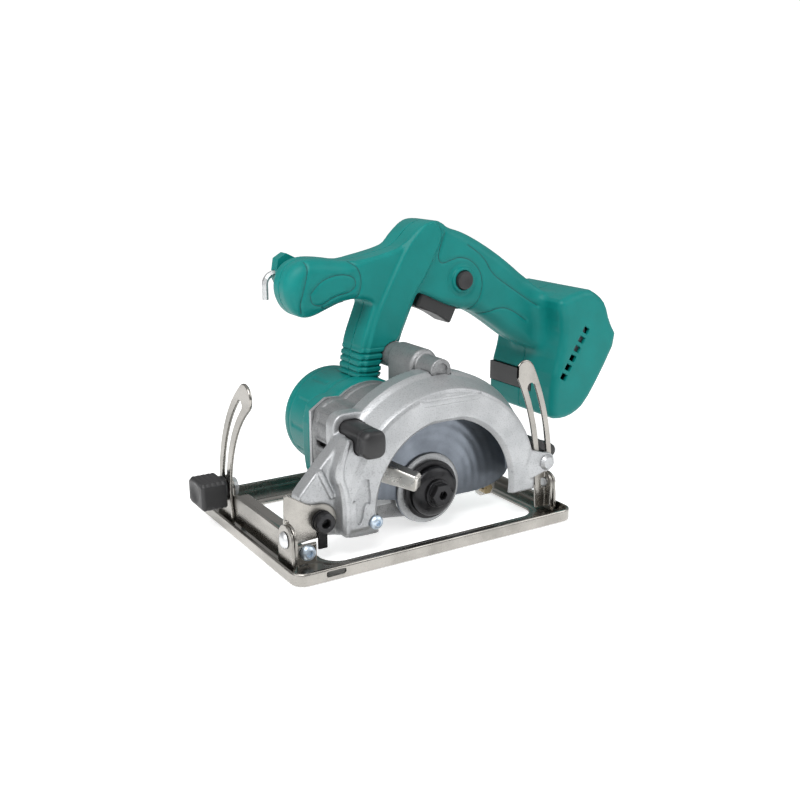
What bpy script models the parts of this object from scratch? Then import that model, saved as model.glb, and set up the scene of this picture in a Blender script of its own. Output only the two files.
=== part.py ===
"""Cordless circular saw with a 125 mm blade capacity, shown without its blade and battery.

+X is the cutting direction, +Y is the blade side and +Z is up. Sizes are in millimetres, measured from
the middle of the base plate's underside, and MM turns them into metres. At the end one parent moves
everything forwards by BASE_SHIFT, so the origin lies under the middle of the whole saw.
"""
import math

import bmesh
import bpy
from mathutils import Matrix, Vector

MM = 0.001
GAP = 0.3                    # clearance between pieces that touch
FIT = 0.4                    # clearance round a piece that slides or turns

# ---------------------------------------------------------------- driving dimensions
BASE_LENGTH = 206.0
BASE_SHIFT = 41.35           # middle of the base plate, ahead of the middle of the whole saw
BASE_WIDTH = 162.0
LIP_HEIGHT = 8.0
SHEET = 1.8                  # base plate sheet
BASE_CORNER = 9.0
OPENING_FRONT = 72.0
OPENING_REAR = -86.0
OPENING_NEAR = 61.5
OPENING_FAR = -54.0
OPENING_CORNER = 12.0

BLADE_RADIUS = 62.5
SPINDLE = (-13.3, 26.5)      # x, z
MOTOR_AXIS = (6.0, 56.5)
PIVOT = (72.5, 26.5)         # depth pivot, x, z
HINGE = (58.5, 21.5)         # bevel hinge, y, z

GUARD_FACE = 62.0            # near face of the blade guard, y
GUARD_BACK = 32.0
GUARD_WALL = 3.6
GUARD_FLANGE_RADIUS = 78.6
WINDOW_RADIUS = 53.0

HANDLE_MIDDLE = -27.0        # split plane of the handle shells, y
HANDLE_HALF = 16.5
DOCK_HALF = 39.4
SHELL_WALL = 3.0

BEVEL_RADIUS = 90.0
BEVEL_REST = 177.0           # degrees round the hinge, measured from +Y
BEVEL_RANGE = 45.0
BEVEL_HALF_WIDTH = 9.0
BRACKET_SHEET = 2.0
FRONT_PLATE = 97.0           # rear face of the front ear and quadrant, x
REAR_EAR = -99.0             # rear face of the rear ear, x
EAR_RADIUS = 9.0
REAR_EAR_RADIUS = 7.0
PIN_RADIUS = 3.0
PIN_HEAD = 2.2

GUIDE_RADIUS = 165.5
GUIDE_HALF_WIDTH = 7.3
GUIDE_FACE = 59.0            # near face of the depth guide, y
DEPTH_RANGE = 18.0
DEPTH_REST = 176.4           # degrees round the pivot, measured from +X
BOLT_RADIUS = 2.9
SLOT_CLEARANCE = 0.3

MOTOR_RADIUS = 35.0
MOTOR_END = -66.0
MOTOR_FACE = -6.6
CASE_BACK = -3.0
CASE_FACE = 31.7
CASE_WALL = 3.5

LOWER_GUARD_WALL = 1.5
HUB_RADIUS = 21.0
SHAFT_RADIUS = 6.0
BEARING_RADIUS = 13.0

TEAL = (0.012, 0.27, 0.25, 1)
CAST = (0.55, 0.57, 0.58, 1)
NICKEL = (0.50, 0.48, 0.43, 1)
STEEL = (0.56, 0.57, 0.58, 1)
ZINC = (0.42, 0.55, 0.66, 1)
BLACK = (0.012, 0.012, 0.014, 1)
COPPER = (0.55, 0.25, 0.11, 1)

FINISHES = {
    "moulded": (0.42, 0.0),
    "cast": (0.45, 0.9),
    "plated": (0.25, 1.0),
    "rubber": (0.7, 0.0),
}


# ---------------------------------------------------------------- scene and materials
def clear_scene():
    """Removes whatever the scene holds."""
    for item in list(bpy.data.objects):
        bpy.data.objects.remove(item, do_unlink=True)


def new_collection(name):
    collection = bpy.data.collections.new(name)
    bpy.context.scene.collection.children.link(collection)
    return collection


clear_scene()
PARTS = new_collection("circular_saw")
CUTTERS = new_collection("cutters")


def dress(item, colour, finish):
    """Gives an object its own Principled BSDF material and puts it in the parts collection."""
    roughness, metallic = FINISHES[finish]
    material = bpy.data.materials.new(item.name + "_finish")
    material.use_nodes = True
    shader = material.node_tree.nodes["Principled BSDF"]
    shader.inputs["Base Color"].default_value = colour
    shader.inputs["Roughness"].default_value = roughness
    shader.inputs["Metallic"].default_value = metallic
    material.diffuse_color = colour
    item.data.materials.clear()
    item.data.materials.append(material)
    for collection in list(item.users_collection):
        collection.objects.unlink(item)
    PARTS.objects.link(item)
    return item


# ---------------------------------------------------------------- outlines
def arc(centre, radius, start, end, steps):
    """Points of an arc, with angles in degrees."""
    points = []
    for index in range(steps + 1):
        angle = math.radians(start + (end - start) * index / steps)
        points.append((centre[0] + radius * math.cos(angle), centre[1] + radius * math.sin(angle)))
    return points


def circle(centre, radius, steps=24):
    return arc(centre, radius, 0, 360 - 360 / steps, steps - 1)


def rounded_box(low, high, radius, steps=4):
    """A rectangle between two corners, with round corners."""
    x0, y0 = low[0] + radius, low[1] + radius
    x1, y1 = high[0] - radius, high[1] - radius
    return (arc((x1, y0), radius, -90, 0, steps) + arc((x1, y1), radius, 0, 90, steps)
            + arc((x0, y1), radius, 90, 180, steps) + arc((x0, y0), radius, 180, 270, steps))


def arc_slot(centre, radius, half_width, start, end, steps=12, cap=5):
    """A slot that follows an arc and has round ends; start is less than end."""
    first, last = arc(centre, radius, start, start, 1)[0], arc(centre, radius, end, end, 1)[0]
    return (arc(centre, radius + half_width, start, end, steps)
            + arc(last, half_width, end, end + 180, cap)[1:-1]
            + arc(centre, radius - half_width, end, start, steps)
            + arc(first, half_width, start + 180, start + 360, cap)[1:-1])


def signed_area(points):
    total = 0.0
    for (x0, y0), (x1, y1) in zip(points, points[1:] + points[:1]):
        total += x0 * y1 - x1 * y0
    return total / 2


def inset(points, distance):
    """The outline moved inwards by a distance, with mitred corners."""
    turn = 1.0 if signed_area(points) > 0 else -1.0
    moved = []
    count = len(points)
    for index in range(count):
        before = Vector(points[index - 1])
        here = Vector(points[index])
        after = Vector(points[(index + 1) % count])
        first = (here - before).normalized()
        second = (after - here).normalized()
        normal_a = Vector((-first.y, first.x)) * turn
        normal_b = Vector((-second.y, second.x)) * turn
        middle = (normal_a + normal_b).normalized()
        reach = distance / max(middle.dot(normal_a), 0.4)
        moved.append(tuple(here + middle * reach))
    return moved


def local_box(origin, angle, along, up):
    """A rectangle in a turned frame; along and up are (low, high) pairs."""
    a = Vector((math.cos(math.radians(angle)), math.sin(math.radians(angle))))
    n = Vector((-a.y, a.x))
    corners = [(along[0], up[0]), (along[1], up[0]), (along[1], up[1]), (along[0], up[1])]
    return [tuple(Vector(origin) + a * s + n * t) for s, t in corners]


# ---------------------------------------------------------------- solids
def frame_of(axis):
    """Turns local z onto a world axis."""
    columns = {
        "X": ((0, 1, 0), (0, 0, 1), (1, 0, 0)),
        "Y": ((1, 0, 0), (0, 0, 1), (0, -1, 0)),
        "Z": ((1, 0, 0), (0, 1, 0), (0, 0, 1)),
    }[axis]
    return Matrix(columns).transposed().to_4x4()


def place(centre, axis, along):
    """The world point of a 2D centre in the plane across an axis."""
    if axis == "X":
        return Vector((along, centre[0], centre[1])) * MM
    if axis == "Y":
        return Vector((centre[0], along, centre[1])) * MM
    return Vector((centre[0], centre[1], along)) * MM


def snap(mesh):
    """Rounds every corner to a tenth of a micrometre, so faces meant to lie in one plane do."""
    for vertex in mesh.vertices:
        vertex.co = [round(value, 7) for value in vertex.co]


def settle(item):
    """Turns an object with modifiers, or a curve, into a plain closed mesh in world space."""
    bpy.context.view_layer.update()
    graph = bpy.context.evaluated_depsgraph_get()
    mesh = bpy.data.meshes.new_from_object(item.evaluated_get(graph))
    mesh.transform(item.matrix_world)
    snap(mesh)
    work = bmesh.new()
    work.from_mesh(mesh)
    bmesh.ops.remove_doubles(work, verts=work.verts, dist=0.000001)
    bmesh.ops.recalc_face_normals(work, faces=work.faces)
    work.to_mesh(mesh)
    work.free()
    name = item.name
    bpy.data.objects.remove(item, do_unlink=True)
    mesh.name = name
    solid = bpy.data.objects.new(name, mesh)
    bpy.context.scene.collection.objects.link(solid)
    return solid


def plate(name, outline, axis, low, high, holes=()):
    """A flat outline made solid between two positions on an axis."""
    curve = bpy.data.curves.new(name, "CURVE")
    curve.dimensions = "2D"
    curve.fill_mode = "BOTH"
    curve.extrude = (high - low) / 2 * MM
    for points in (outline, *holes):
        spline = curve.splines.new("POLY")
        spline.points.add(len(points) - 1)
        for point, (u, v) in zip(spline.points, points):
            point.co = (u * MM, v * MM, 0, 1)
        spline.use_cyclic_u = True
    item = bpy.data.objects.new(name, curve)
    bpy.context.scene.collection.objects.link(item)
    item.matrix_world = Matrix.Translation(place((0, 0), axis, (low + high) / 2)) @ frame_of(axis)
    return settle(item)


def rod(name, axis, centre, low, high, radius, steps=24, tip=None):
    """A cylinder or, with a tip radius at the high end, a cone."""
    mesh = bpy.data.meshes.new(name)
    work = bmesh.new()
    direction = 1 if axis != "Y" else -1
    ends = (radius, radius if tip is None else tip)
    if direction < 0:
        ends = ends[::-1]
    bmesh.ops.create_cone(work, cap_ends=True, segments=steps, radius1=ends[0] * MM,
                          radius2=ends[1] * MM, depth=(high - low) * MM)
    work.to_mesh(mesh)
    work.free()
    mesh.transform(Matrix.Translation(place(centre, axis, (low + high) / 2)) @ frame_of(axis))
    snap(mesh)
    item = bpy.data.objects.new(name, mesh)
    bpy.context.scene.collection.objects.link(item)
    smooth(item)
    return item


def block(name, low, high, bevel=0.0):
    """A box between two corners, with a Bevel modifier where asked."""
    mesh = bpy.data.meshes.new(name)
    work = bmesh.new()
    bmesh.ops.create_cube(work, size=1)
    size = [(b - a) * MM for a, b in zip(low, high)]
    middle = [(a + b) / 2 * MM for a, b in zip(low, high)]
    bmesh.ops.scale(work, vec=size, verts=work.verts)
    bmesh.ops.translate(work, vec=middle, verts=work.verts)
    work.to_mesh(mesh)
    work.free()
    snap(mesh)
    item = bpy.data.objects.new(name, mesh)
    bpy.context.scene.collection.objects.link(item)
    if bevel:
        round_edges(item, bevel)
    return item


def turned(name, profile, axis, centre, steps=48):
    """A profile of (radius, height) points, turned round an axis with a Screw modifier."""
    mesh = bpy.data.meshes.new(name)
    work = bmesh.new()
    flip = -1 if axis == "Y" else 1
    points = [work.verts.new((r * MM, 0, flip * h * MM)) for r, h in profile]
    closed = profile[0][0] > 0 or profile[-1][0] > 0
    pairs = list(zip(points, points[1:]))
    if closed:
        pairs.append((points[-1], points[0]))
    for first, second in pairs:
        if first.co.x > 0 or second.co.x > 0:
            work.edges.new((first, second))
    work.to_mesh(mesh)
    work.free()
    item = bpy.data.objects.new(name, mesh)
    bpy.context.scene.collection.objects.link(item)
    screw = item.modifiers.new("Turn", "SCREW")
    screw.axis = "Z"
    screw.angle = math.tau
    screw.steps = steps
    screw.render_steps = steps
    screw.use_merge_vertices = True
    screw.merge_threshold = 0.00001
    item.matrix_world = Matrix.Translation(place(centre, axis, 0)) @ frame_of(axis)
    solid = settle(item)
    smooth(solid)
    return solid


def tube(name, points, radius, resolution=2):
    """A wire along a list of (x, y, z) points, with filled ends."""
    curve = bpy.data.curves.new(name, "CURVE")
    curve.dimensions = "3D"
    curve.bevel_depth = radius * MM
    curve.bevel_resolution = resolution
    curve.use_fill_caps = True
    spline = curve.splines.new("POLY")
    spline.points.add(len(points) - 1)
    for point, (x, y, z) in zip(spline.points, points):
        point.co = (x * MM, y * MM, z * MM, 1)
    item = bpy.data.objects.new(name, curve)
    bpy.context.scene.collection.objects.link(item)
    solid = settle(item)
    smooth(solid)
    return solid


def smooth(item, angle=40):
    item.data.shade_smooth()
    item.data.set_sharp_from_angle(angle=math.radians(angle))


def round_edges(item, width, segments=2):
    bevel = item.modifiers.new("Edges", "BEVEL")
    bevel.width = width * MM
    bevel.segments = segments
    bevel.limit_method = "ANGLE"
    bevel.angle_limit = math.radians(50)


def boolean(item, tool, operation):
    for collection in list(tool.users_collection):
        collection.objects.unlink(tool)
    CUTTERS.objects.link(tool)
    tool.hide_render = True
    tool.display_type = "WIRE"
    modifier = item.modifiers.new(operation.title(), "BOOLEAN")
    modifier.operation = operation
    modifier.solver = "EXACT"
    modifier.object = tool
    return item


def cut(item, *tools):
    for tool in tools:
        boolean(item, tool, "DIFFERENCE")
    return item


def join(item, *tools):
    for tool in tools:
        boolean(item, tool, "UNION")
    return item


def carrier(name, point):
    """An empty at a joint, which carries the pieces that move with it."""
    empty = bpy.data.objects.new(name, None)
    empty.empty_display_size = 0.01
    empty.matrix_world = Matrix.Translation(Vector(point) * MM)
    PARTS.objects.link(empty)
    return empty


def carry(empty, point, *items):
    """Parents pieces to an empty without moving them."""
    for item in items:
        item.parent = empty
        item.matrix_parent_inverse = Matrix.Translation(-Vector(point) * MM)


def gear_outline(centre, tip_radius, teeth, depth, turn=0.0):
    """Straight-sided teeth: four points for each tooth."""
    points = []
    pitch = 360 / teeth
    for index in range(teeth):
        base = turn + index * pitch
        for share, radius in ((-0.30, tip_radius - depth), (-0.16, tip_radius),
                              (0.16, tip_radius), (0.30, tip_radius - depth)):
            points += arc(centre, radius, base + share * pitch, base + share * pitch, 1)[:1]
    return points


def polar(centre, radius, angle):
    return arc(centre, radius, angle, angle, 1)[0]


# ---------------------------------------------------------------- derived places
HALF_LENGTH = BASE_LENGTH / 2
HALF_WIDTH = BASE_WIDTH / 2
STRIP_TOP = SHEET + GAP
FRONT_PLATE_FACE = FRONT_PLATE + BRACKET_SHEET
WEB = (FRONT_PLATE - GAP - BRACKET_SHEET, FRONT_PLATE - GAP)
BRACKET = (52.0, 52.0 + BRACKET_SHEET)
BEVEL_BOLT = polar(HINGE, BEVEL_RADIUS, BEVEL_REST)
DEPTH_BOLT = polar(PIVOT, GUIDE_RADIUS, DEPTH_REST)
GUIDE = (GUIDE_FACE - BRACKET_SHEET, GUIDE_FACE)
SHELL_NEAR = HANDLE_MIDDLE + HANDLE_HALF
SHELL_FAR = HANDLE_MIDDLE - HANDLE_HALF
BLADE_SPACE = BLADE_RADIUS + 4.5       # inner radius of the upper guard
HUB_FACE = 36.1                        # near end of the spindle boss
WALL_BACK = 36.4                       # back of the lower guard's side wall
FLANGE_BACK = 40.8
INNER_FLANGE = (FLANGE_BACK, FLANGE_BACK + 3.0)
OUTER_FLANGE = (INNER_FLANGE[1] + 2.0, INNER_FLANGE[1] + 6.2)
TUBE = (-18.5, 105.3)                  # fixing tube above the guard, x, z


# ---------------------------------------------------------------- base
def base_plate():
    outer = rounded_box((-HALF_LENGTH, -HALF_WIDTH), (HALF_LENGTH, HALF_WIDTH), BASE_CORNER)
    inner = rounded_box((-HALF_LENGTH + SHEET, -HALF_WIDTH + SHEET),
                        (HALF_LENGTH - SHEET, HALF_WIDTH - SHEET), BASE_CORNER - SHEET)
    opening = rounded_box((OPENING_REAR, OPENING_FAR), (OPENING_FRONT, OPENING_NEAR), OPENING_CORNER)
    item = plate("base_plate", outer, "Z", 0, LIP_HEIGHT)
    cut(item, plate("tray_space", inner, "Z", SHEET, LIP_HEIGHT + 1))
    cut(item, plate("sole_opening", opening, "Z", -1, SHEET + 1))
    for label, x0, radius in (("front_ear", FRONT_PLATE, EAR_RADIUS),
                              ("rear_ear", REAR_EAR, REAR_EAR_RADIUS)):
        outline = ([(HINGE[0] - radius, SHEET / 2), (HINGE[0] + radius, SHEET / 2)]
                   + arc(HINGE, radius, 0, 180, 10))
        ear = plate(label, outline, "X", x0, x0 + BRACKET_SHEET, [circle(HINGE, PIN_RADIUS + GAP, 16)])
        join(item, ear)
    stop = rounded_box((77, SHEET / 2), (90, BRACKET_STOP_TOP), 0.8)
    join(item, plate("stop_tab", stop, "Y", STOP_TAB[0], STOP_TAB[1],
                     [circle(STOP_SCREW, STOP_SHANK + GAP, 12)]))
    slot_low, slot_high = (FENCE_SLOT[0], 2.9), (FENCE_SLOT[1], 6.3)
    for label, edge in (("near_fence_slot", HALF_WIDTH), ("far_fence_slot", -HALF_WIDTH)):
        cut(item, block(label, (slot_low[0], edge - 3, slot_low[1]), (slot_high[0], edge + 3, slot_high[1])))
    cut(item, rod("clamp_hole", "Z", CLAMP_SCREW, -1, SHEET + 1, 2.2, 12))
    return dress(item, NICKEL, "plated")


FENCE_SLOT = (71.0, 83.5)
STOP_SCREW = (83.6, 9.6)
STOP_SHANK = 2.0
STOP_TAB = (54.3, 56.3)
BRACKET_STOP_TOP = 14.6
CLAMP_SCREW = (89.0, -23.0)


def bevel_quadrant():
    """Slotted arc plate round the hinge axis, with a foot that is folded forwards."""
    start, end = BEVEL_REST - BEVEL_RANGE - 6.5, BEVEL_REST + 4.5
    inner, outer = BEVEL_RADIUS - BEVEL_HALF_WIDTH, BEVEL_RADIUS + BEVEL_HALF_WIDTH
    top = arc(polar(HINGE, BEVEL_RADIUS, start), BEVEL_HALF_WIDTH, start + 180, start + 360, 8)
    foot_near, foot_far = HINGE[0] - inner + 1.5, HINGE[0] - outer - 2.5
    outline = (arc(HINGE, outer, start, end, 14) + [(foot_far, STRIP_TOP + 8), (foot_far, STRIP_TOP),
               (foot_near, STRIP_TOP), (foot_near, STRIP_TOP + 8)]
               + arc(HINGE, inner, end, start, 14) + top[1:-1])
    slot = arc_slot(HINGE, BEVEL_RADIUS, BOLT_RADIUS + SLOT_CLEARANCE,
                    BEVEL_REST - BEVEL_RANGE - 0.7, BEVEL_REST + 0.7, 14)
    item = plate("bevel_quadrant", outline, "X", FRONT_PLATE, FRONT_PLATE_FACE, [slot])
    foot = block("quadrant_foot", (FRONT_PLATE, foot_far, STRIP_TOP),
                 (HALF_LENGTH - SHEET - GAP, foot_near, STRIP_TOP + BRACKET_SHEET))
    return dress(join(item, foot), NICKEL, "plated")


def hinge_pin(name, head_end, tail_end):
    """A rivet along X with a round head outside the ear."""
    outwards = 1 if head_end > tail_end else -1
    head_seat = head_end - outwards * PIN_HEAD
    low, high = sorted((tail_end, head_end))
    item = rod(name, "X", HINGE, low, high, PIN_RADIUS, 20)
    head_low, head_high = sorted((head_seat, head_end))
    tip = 4.0
    if outwards > 0:
        head = rod(name + "_head", "X", HINGE, head_low, head_high, 5.2, 20, tip)
    else:
        head = rod(name + "_head", "X", HINGE, head_low, head_high, tip, 20, 5.2)
    return dress(join(item, head), STEEL, "plated")


def pan_screw(name, axis, centre, seat, outwards, head_radius, head, shank_radius, shank, colour):
    """A round-headed screw; seat is the face under its head."""
    tip = seat + outwards * head
    tail = seat - outwards * shank
    profile_sign = outwards
    profile = [(0, tip), (head_radius * 0.62, tip), (head_radius, tip - profile_sign * head * 0.45),
               (head_radius, seat), (shank_radius, seat), (shank_radius, tail), (0, tail)]
    return dress(turned(name, profile, axis, centre, 20), colour, "plated")


def fence_clamp_screw():
    head = plate("fence_clamp_screw", circle(CLAMP_SCREW, 3.1, 6), "Z", STRIP_TOP, STRIP_TOP + 4.5)
    shank = rod("clamp_shank", "Z", CLAMP_SCREW, 0.3, STRIP_TOP + 1, 1.8, 12)
    return dress(join(head, shank), ZINC, "plated")


# ---------------------------------------------------------------- bevel frame
def bevel_frame():
    """Front web across the base, the bracket that holds the depth pivot, and the pad of the bevel bolt."""
    pad = 8.5
    web_bottom, web_top = 5.0, 23.0
    web = ([(HINGE[0] + EAR_RADIUS, 8), (HINGE[0] + EAR_RADIUS, HINGE[1])]
           + arc(HINGE, EAR_RADIUS, 0, 90, 6)[1:]
           + [(BRACKET[0], HINGE[1] + EAR_RADIUS), (BRACKET[0], web_top)]
           + [(BEVEL_BOLT[0] + pad, web_top)]
           + arc(BEVEL_BOLT, pad, 0, 180, 10)[1:]
           + [(BEVEL_BOLT[0] - pad, web_bottom + 6), (BEVEL_BOLT[0] - pad + 6, web_bottom),
              (HINGE[0] + EAR_RADIUS - 3, web_bottom)])
    holes = [circle(HINGE, PIN_RADIUS + GAP, 16), circle(BEVEL_BOLT, BOLT_RADIUS + GAP, 16)]
    item = plate("bevel_frame", web, "X", WEB[0], WEB[1], holes)
    flange = block("web_flange", (WEB[0] - 8, BEVEL_BOLT[0] + pad + 2, web_top - BRACKET_SHEET),
                   (WEB[1], BRACKET[0] - 6, web_top))
    end_radius = 10.5
    bracket = ([(WEB[1], 14.9), (WEB[1], 46.0), (WEB[1] - 2, 47.0), (82.5, 39.0), (78.0, 37.2)]
               + arc(PIVOT, end_radius, 90, 270, 10)
               + [(82.5, PIVOT[1] - end_radius - 0.5), (86, 14.9)])
    ear = plate("pivot_bracket", bracket, "Y", BRACKET[0], BRACKET[1], [circle(PIVOT, PIVOT_SHANK + GAP, 20)])
    join(item, flange, ear)
    return dress(item, NICKEL, "plated")


PIVOT_SHANK = 4.0


def depth_guide():
    """Slotted arc round the depth pivot, its foot, and the web of the rear hinge."""
    half = GUIDE_HALF_WIDTH
    top_angle = DEPTH_REST - DEPTH_RANGE - 5.0
    low_angle = DEPTH_REST + 2.4
    first = polar(PIVOT, GUIDE_RADIUS, top_angle)
    band = (arc(PIVOT, GUIDE_RADIUS + half, top_angle, low_angle, 14)
            + [(FOOT_REAR, GUIDE_FOOT_TOP), (FOOT_REAR, 4.0), (FOOT_FRONT, 4.0), (FOOT_FRONT + 1.0, 20.0)]
            + arc(PIVOT, GUIDE_RADIUS - half, low_angle - 1.0, top_angle, 14)
            + arc(first, half, top_angle + 180, top_angle + 360, 10)[1:-1])
    slot = arc_slot(PIVOT, GUIDE_RADIUS, BOLT_RADIUS + SLOT_CLEARANCE, DEPTH_REST - DEPTH_RANGE - 0.6,
                    DEPTH_REST + 0.6, 12)
    item = plate("depth_guide", band, "Y", GUIDE[0], GUIDE[1], [slot])
    radius = REAR_EAR_RADIUS
    web = ([(HINGE[0] - radius, 4.0), (HINGE[0] + radius, 4.0)] + arc(HINGE, radius, 0, 180, 10))
    rear_web = plate("rear_web", web, "X", REAR_WEB[0], REAR_WEB[1], [circle(HINGE, PIN_RADIUS + GAP, 16)])
    notch = rod("pin_way", "X", HINGE, REAR_WEB[0] - 1, REAR_WEB[1] + 3.5, PIN_RADIUS + GAP, 16)
    join(item, rear_web)
    cut(item, notch)
    return dress(item, NICKEL, "plated")


REAR_WEB = (REAR_EAR + BRACKET_SHEET + GAP, REAR_EAR + 2 * BRACKET_SHEET + GAP)
FOOT_REAR = REAR_WEB[0]
FOOT_FRONT = -87.5
GUIDE_FOOT_TOP = 29.4


def bevel_bolt():
    """Bolt through the web and the quadrant's slot, with a low head behind the web."""
    item = rod("bevel_bolt", "X", BEVEL_BOLT, WEB[0] - GAP, BEVEL_KNOB[0] + 6, BOLT_RADIUS, 16)
    head = rod("bevel_bolt_head", "X", BEVEL_BOLT, WEB[0] - GAP - 3, WEB[0] - GAP, 6.0, 16)
    return dress(join(item, head), STEEL, "plated")


BEVEL_KNOB = (FRONT_PLATE_FACE + GAP, FRONT_PLATE_FACE + GAP + 20.0)


def bevel_knob():
    """Moulded wing knob on the bevel bolt."""
    y, z = BEVEL_BOLT
    outline = [(y - 12, z - 7), (y - 9, z - 9), (y + 12, z - 9), (y + 13, z - 8), (y + 13, z + 7),
               (y + 11, z + 9), (y - 8, z + 9), (y - 12, z + 6)]
    item = plate("bevel_knob", outline, "X", BEVEL_KNOB[0] + 2.5, BEVEL_KNOB[1])
    round_edges(item, 1.6)
    hub = rod("bevel_knob_hub", "X", BEVEL_BOLT, BEVEL_KNOB[0], BEVEL_KNOB[0] + 4, 8.2, 20)
    join(item, hub)
    cut(item, rod("bevel_knob_bore", "X", BEVEL_BOLT, BEVEL_KNOB[0] - 1, BEVEL_KNOB[0] + 6 + GAP,
                  BOLT_RADIUS + GAP, 16))
    return dress(item, BLACK, "moulded")


def pivot_screw():
    """Socket-head shoulder screw of the depth pivot."""
    seat = BRACKET[1] + GAP + 1.5 + GAP
    profile = [(2.6, seat + 6.2), (5.6, seat + 6.2), (6.3, seat + 5.4), (6.3, seat), (PIVOT_SHANK, seat),
               (PIVOT_SHANK, 40.0), (0, 40.0), (0, seat + 2.4), (2.6, seat + 2.4)]
    return dress(turned("pivot_screw", profile, "Y", PIVOT, 24), BLACK, "plated")


def pivot_lock_washer():
    """Thin washer under the pivot screw, with a tongue that points down."""
    x, z = PIVOT
    outline = (arc(PIVOT, 6.8, -65, 245, 16) + [(x - 2.87, 9.4), (x + 2.87, 9.4)])
    item = plate("pivot_lock_washer", outline, "Y", BRACKET[1] + GAP, BRACKET[1] + GAP + 1.5,
                 [circle(PIVOT, PIVOT_SHANK + GAP, 16)])
    return dress(item, BLACK, "plated")


# ---------------------------------------------------------------- blade guards
def guard_profile():
    """Section of the upper guard from its near face to its back wall."""
    inner = BLADE_SPACE
    flange = GUARD_FLANGE_RADIUS
    face, back, wall = GUARD_FACE, GUARD_BACK, GUARD_WALL
    return [(WINDOW_RADIUS, face), (inner + 1.9, face), (inner + 3.4, face - 0.9), (inner + 4.4, face - 3.5),
            (flange - 2.6, 47.0), (flange, 44.2), (flange, back), (GUARD_HUB_HOLE, back),
            (GUARD_HUB_HOLE, back + 3), (flange - wall, back + 3), (flange - wall, 43.2),
            (flange - wall - 2.2, 46.0), (inner, face - wall - 2.5), (inner, face - wall),
            (WINDOW_RADIUS, face - wall)]


GUARD_HUB_HOLE = 26.0
LOCK_AXIS = (46.1, 73.9)
LOCK_HALF = (7.5, 8.5)
LOCK_CORNER = 4.8
LOCK_REACH = (33.0, 75.0)


def upper_guard():
    """Cast guard over the blade, with the front foot, the rear leg and the lug of the depth bolt."""
    item = turned("upper_guard", guard_profile(), "Y", SPINDLE, 84)
    x, z = SPINDLE
    below = block("below_guard", (x - 100, GUARD_BACK - 5, -70), (x + 100, GUARD_FACE + 5, LEG_BOTTOM))
    cut(item, below)
    raised = [(55, 76), (60, 68), (66.0, 54), (61.2, 42), (61.2, 16), (58, 13.2), (26, 13.2), (22, 22),
              (24, 60)]
    stepped = ([(40, 80), (52, 78), (64, 66), (86.5, 42.5), (86.5, 36)] + arc(PIVOT, 11.0, -10, -90, 7)
               + [(56, 13.2), (52, 13.2), (49, 30), (40, 60)])
    join(item, plate("foot_step", stepped, "Y", 40.0, BRACKET[0] - GAP))
    join(item, plate("foot_face", raised, "Y", 44.0, GUARD_FACE - 0.6))
    collar = rounded_box((LOCK_AXIS[0] - LOCK_HALF[0] - 4.5, LOCK_AXIS[1] - LOCK_HALF[1] - 4.5),
                         (LOCK_AXIS[0] + LOCK_HALF[0] + 4.5, LOCK_AXIS[1] + LOCK_HALF[1] + 4.5), 7.5)
    join(item, plate("lock_collar", collar, "Y", GUARD_BACK + 1.5, 43.0))
    lug = (arc(DEPTH_BOLT, LUG_RADIUS, 80, 280, 10) + [(-80, DEPTH_BOLT[1] - LUG_RADIUS - 3),
           (-76, DEPTH_BOLT[1]), (-79, DEPTH_BOLT[1] + LUG_RADIUS + 4)])
    join(item, plate("depth_lug", lug, "Y", GUIDE_FACE + GAP, GUARD_FACE + 0.8))
    rib = arc(SPINDLE, 65.5, 62, 100, 10) + arc(SPINDLE, 62.5, 100, 62, 10)
    join(item, plate("face_rib", rib, "Y", GUARD_FACE - 1, GUARD_FACE + 0.9))
    cut(item, rod("blade_space", "Y", SPINDLE, GUARD_BACK + 3, GUARD_FACE - GUARD_WALL, BLADE_SPACE, 84))
    cut(item, rod("window", "Y", SPINDLE, GUARD_FACE - GUARD_WALL - 1, GUARD_FACE + 2, WINDOW_RADIUS, 72))
    cut(item, rod("pivot_bore", "Y", PIVOT, 38, 60, PIVOT_SHANK + GAP, 20))
    cut(item, block("knob_space", (-110, GUARD_BACK - 2, 0), (KNOB_SPACE_X, GUIDE[1] - 1.5, 62)))
    cut(item, rod("bolt_bore", "Y", DEPTH_BOLT, 55, 70, BOLT_RADIUS + GAP, 16))
    cut(item, rod("tube_space", "Y", TUBE, GUARD_BACK - 2, TUBE_END + FIT, TUBE_RADIUS + GAP, 28))
    hole = rounded_box((LOCK_AXIS[0] - LOCK_HALF[0] - FIT, LOCK_AXIS[1] - LOCK_HALF[1] - FIT),
                       (LOCK_AXIS[0] + LOCK_HALF[0] + FIT, LOCK_AXIS[1] + LOCK_HALF[1] + FIT),
                       LOCK_CORNER + FIT)
    cut(item, plate("lock_hole", hole, "Y", GUARD_BACK - 2, GUARD_FACE + 3))
    cut(item, rod("stop_screw_bore", "Y", GUARD_STOP, 50, 70, 2.2 + GAP, 12))
    cut(item, rod("stop_screw_seat", "Y", GUARD_STOP, GUARD_FACE - 0.6, 70, 5.2, 16))
    return dress(item, CAST, "cast")


LEG_BOTTOM = 19.5
LUG_RADIUS = 6.6
KNOB_SPACE_X = -74.0
TUBE_RADIUS = 7.5
TUBE_END = 45.5
GUARD_STOP = (39.5, 21.5)


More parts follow.
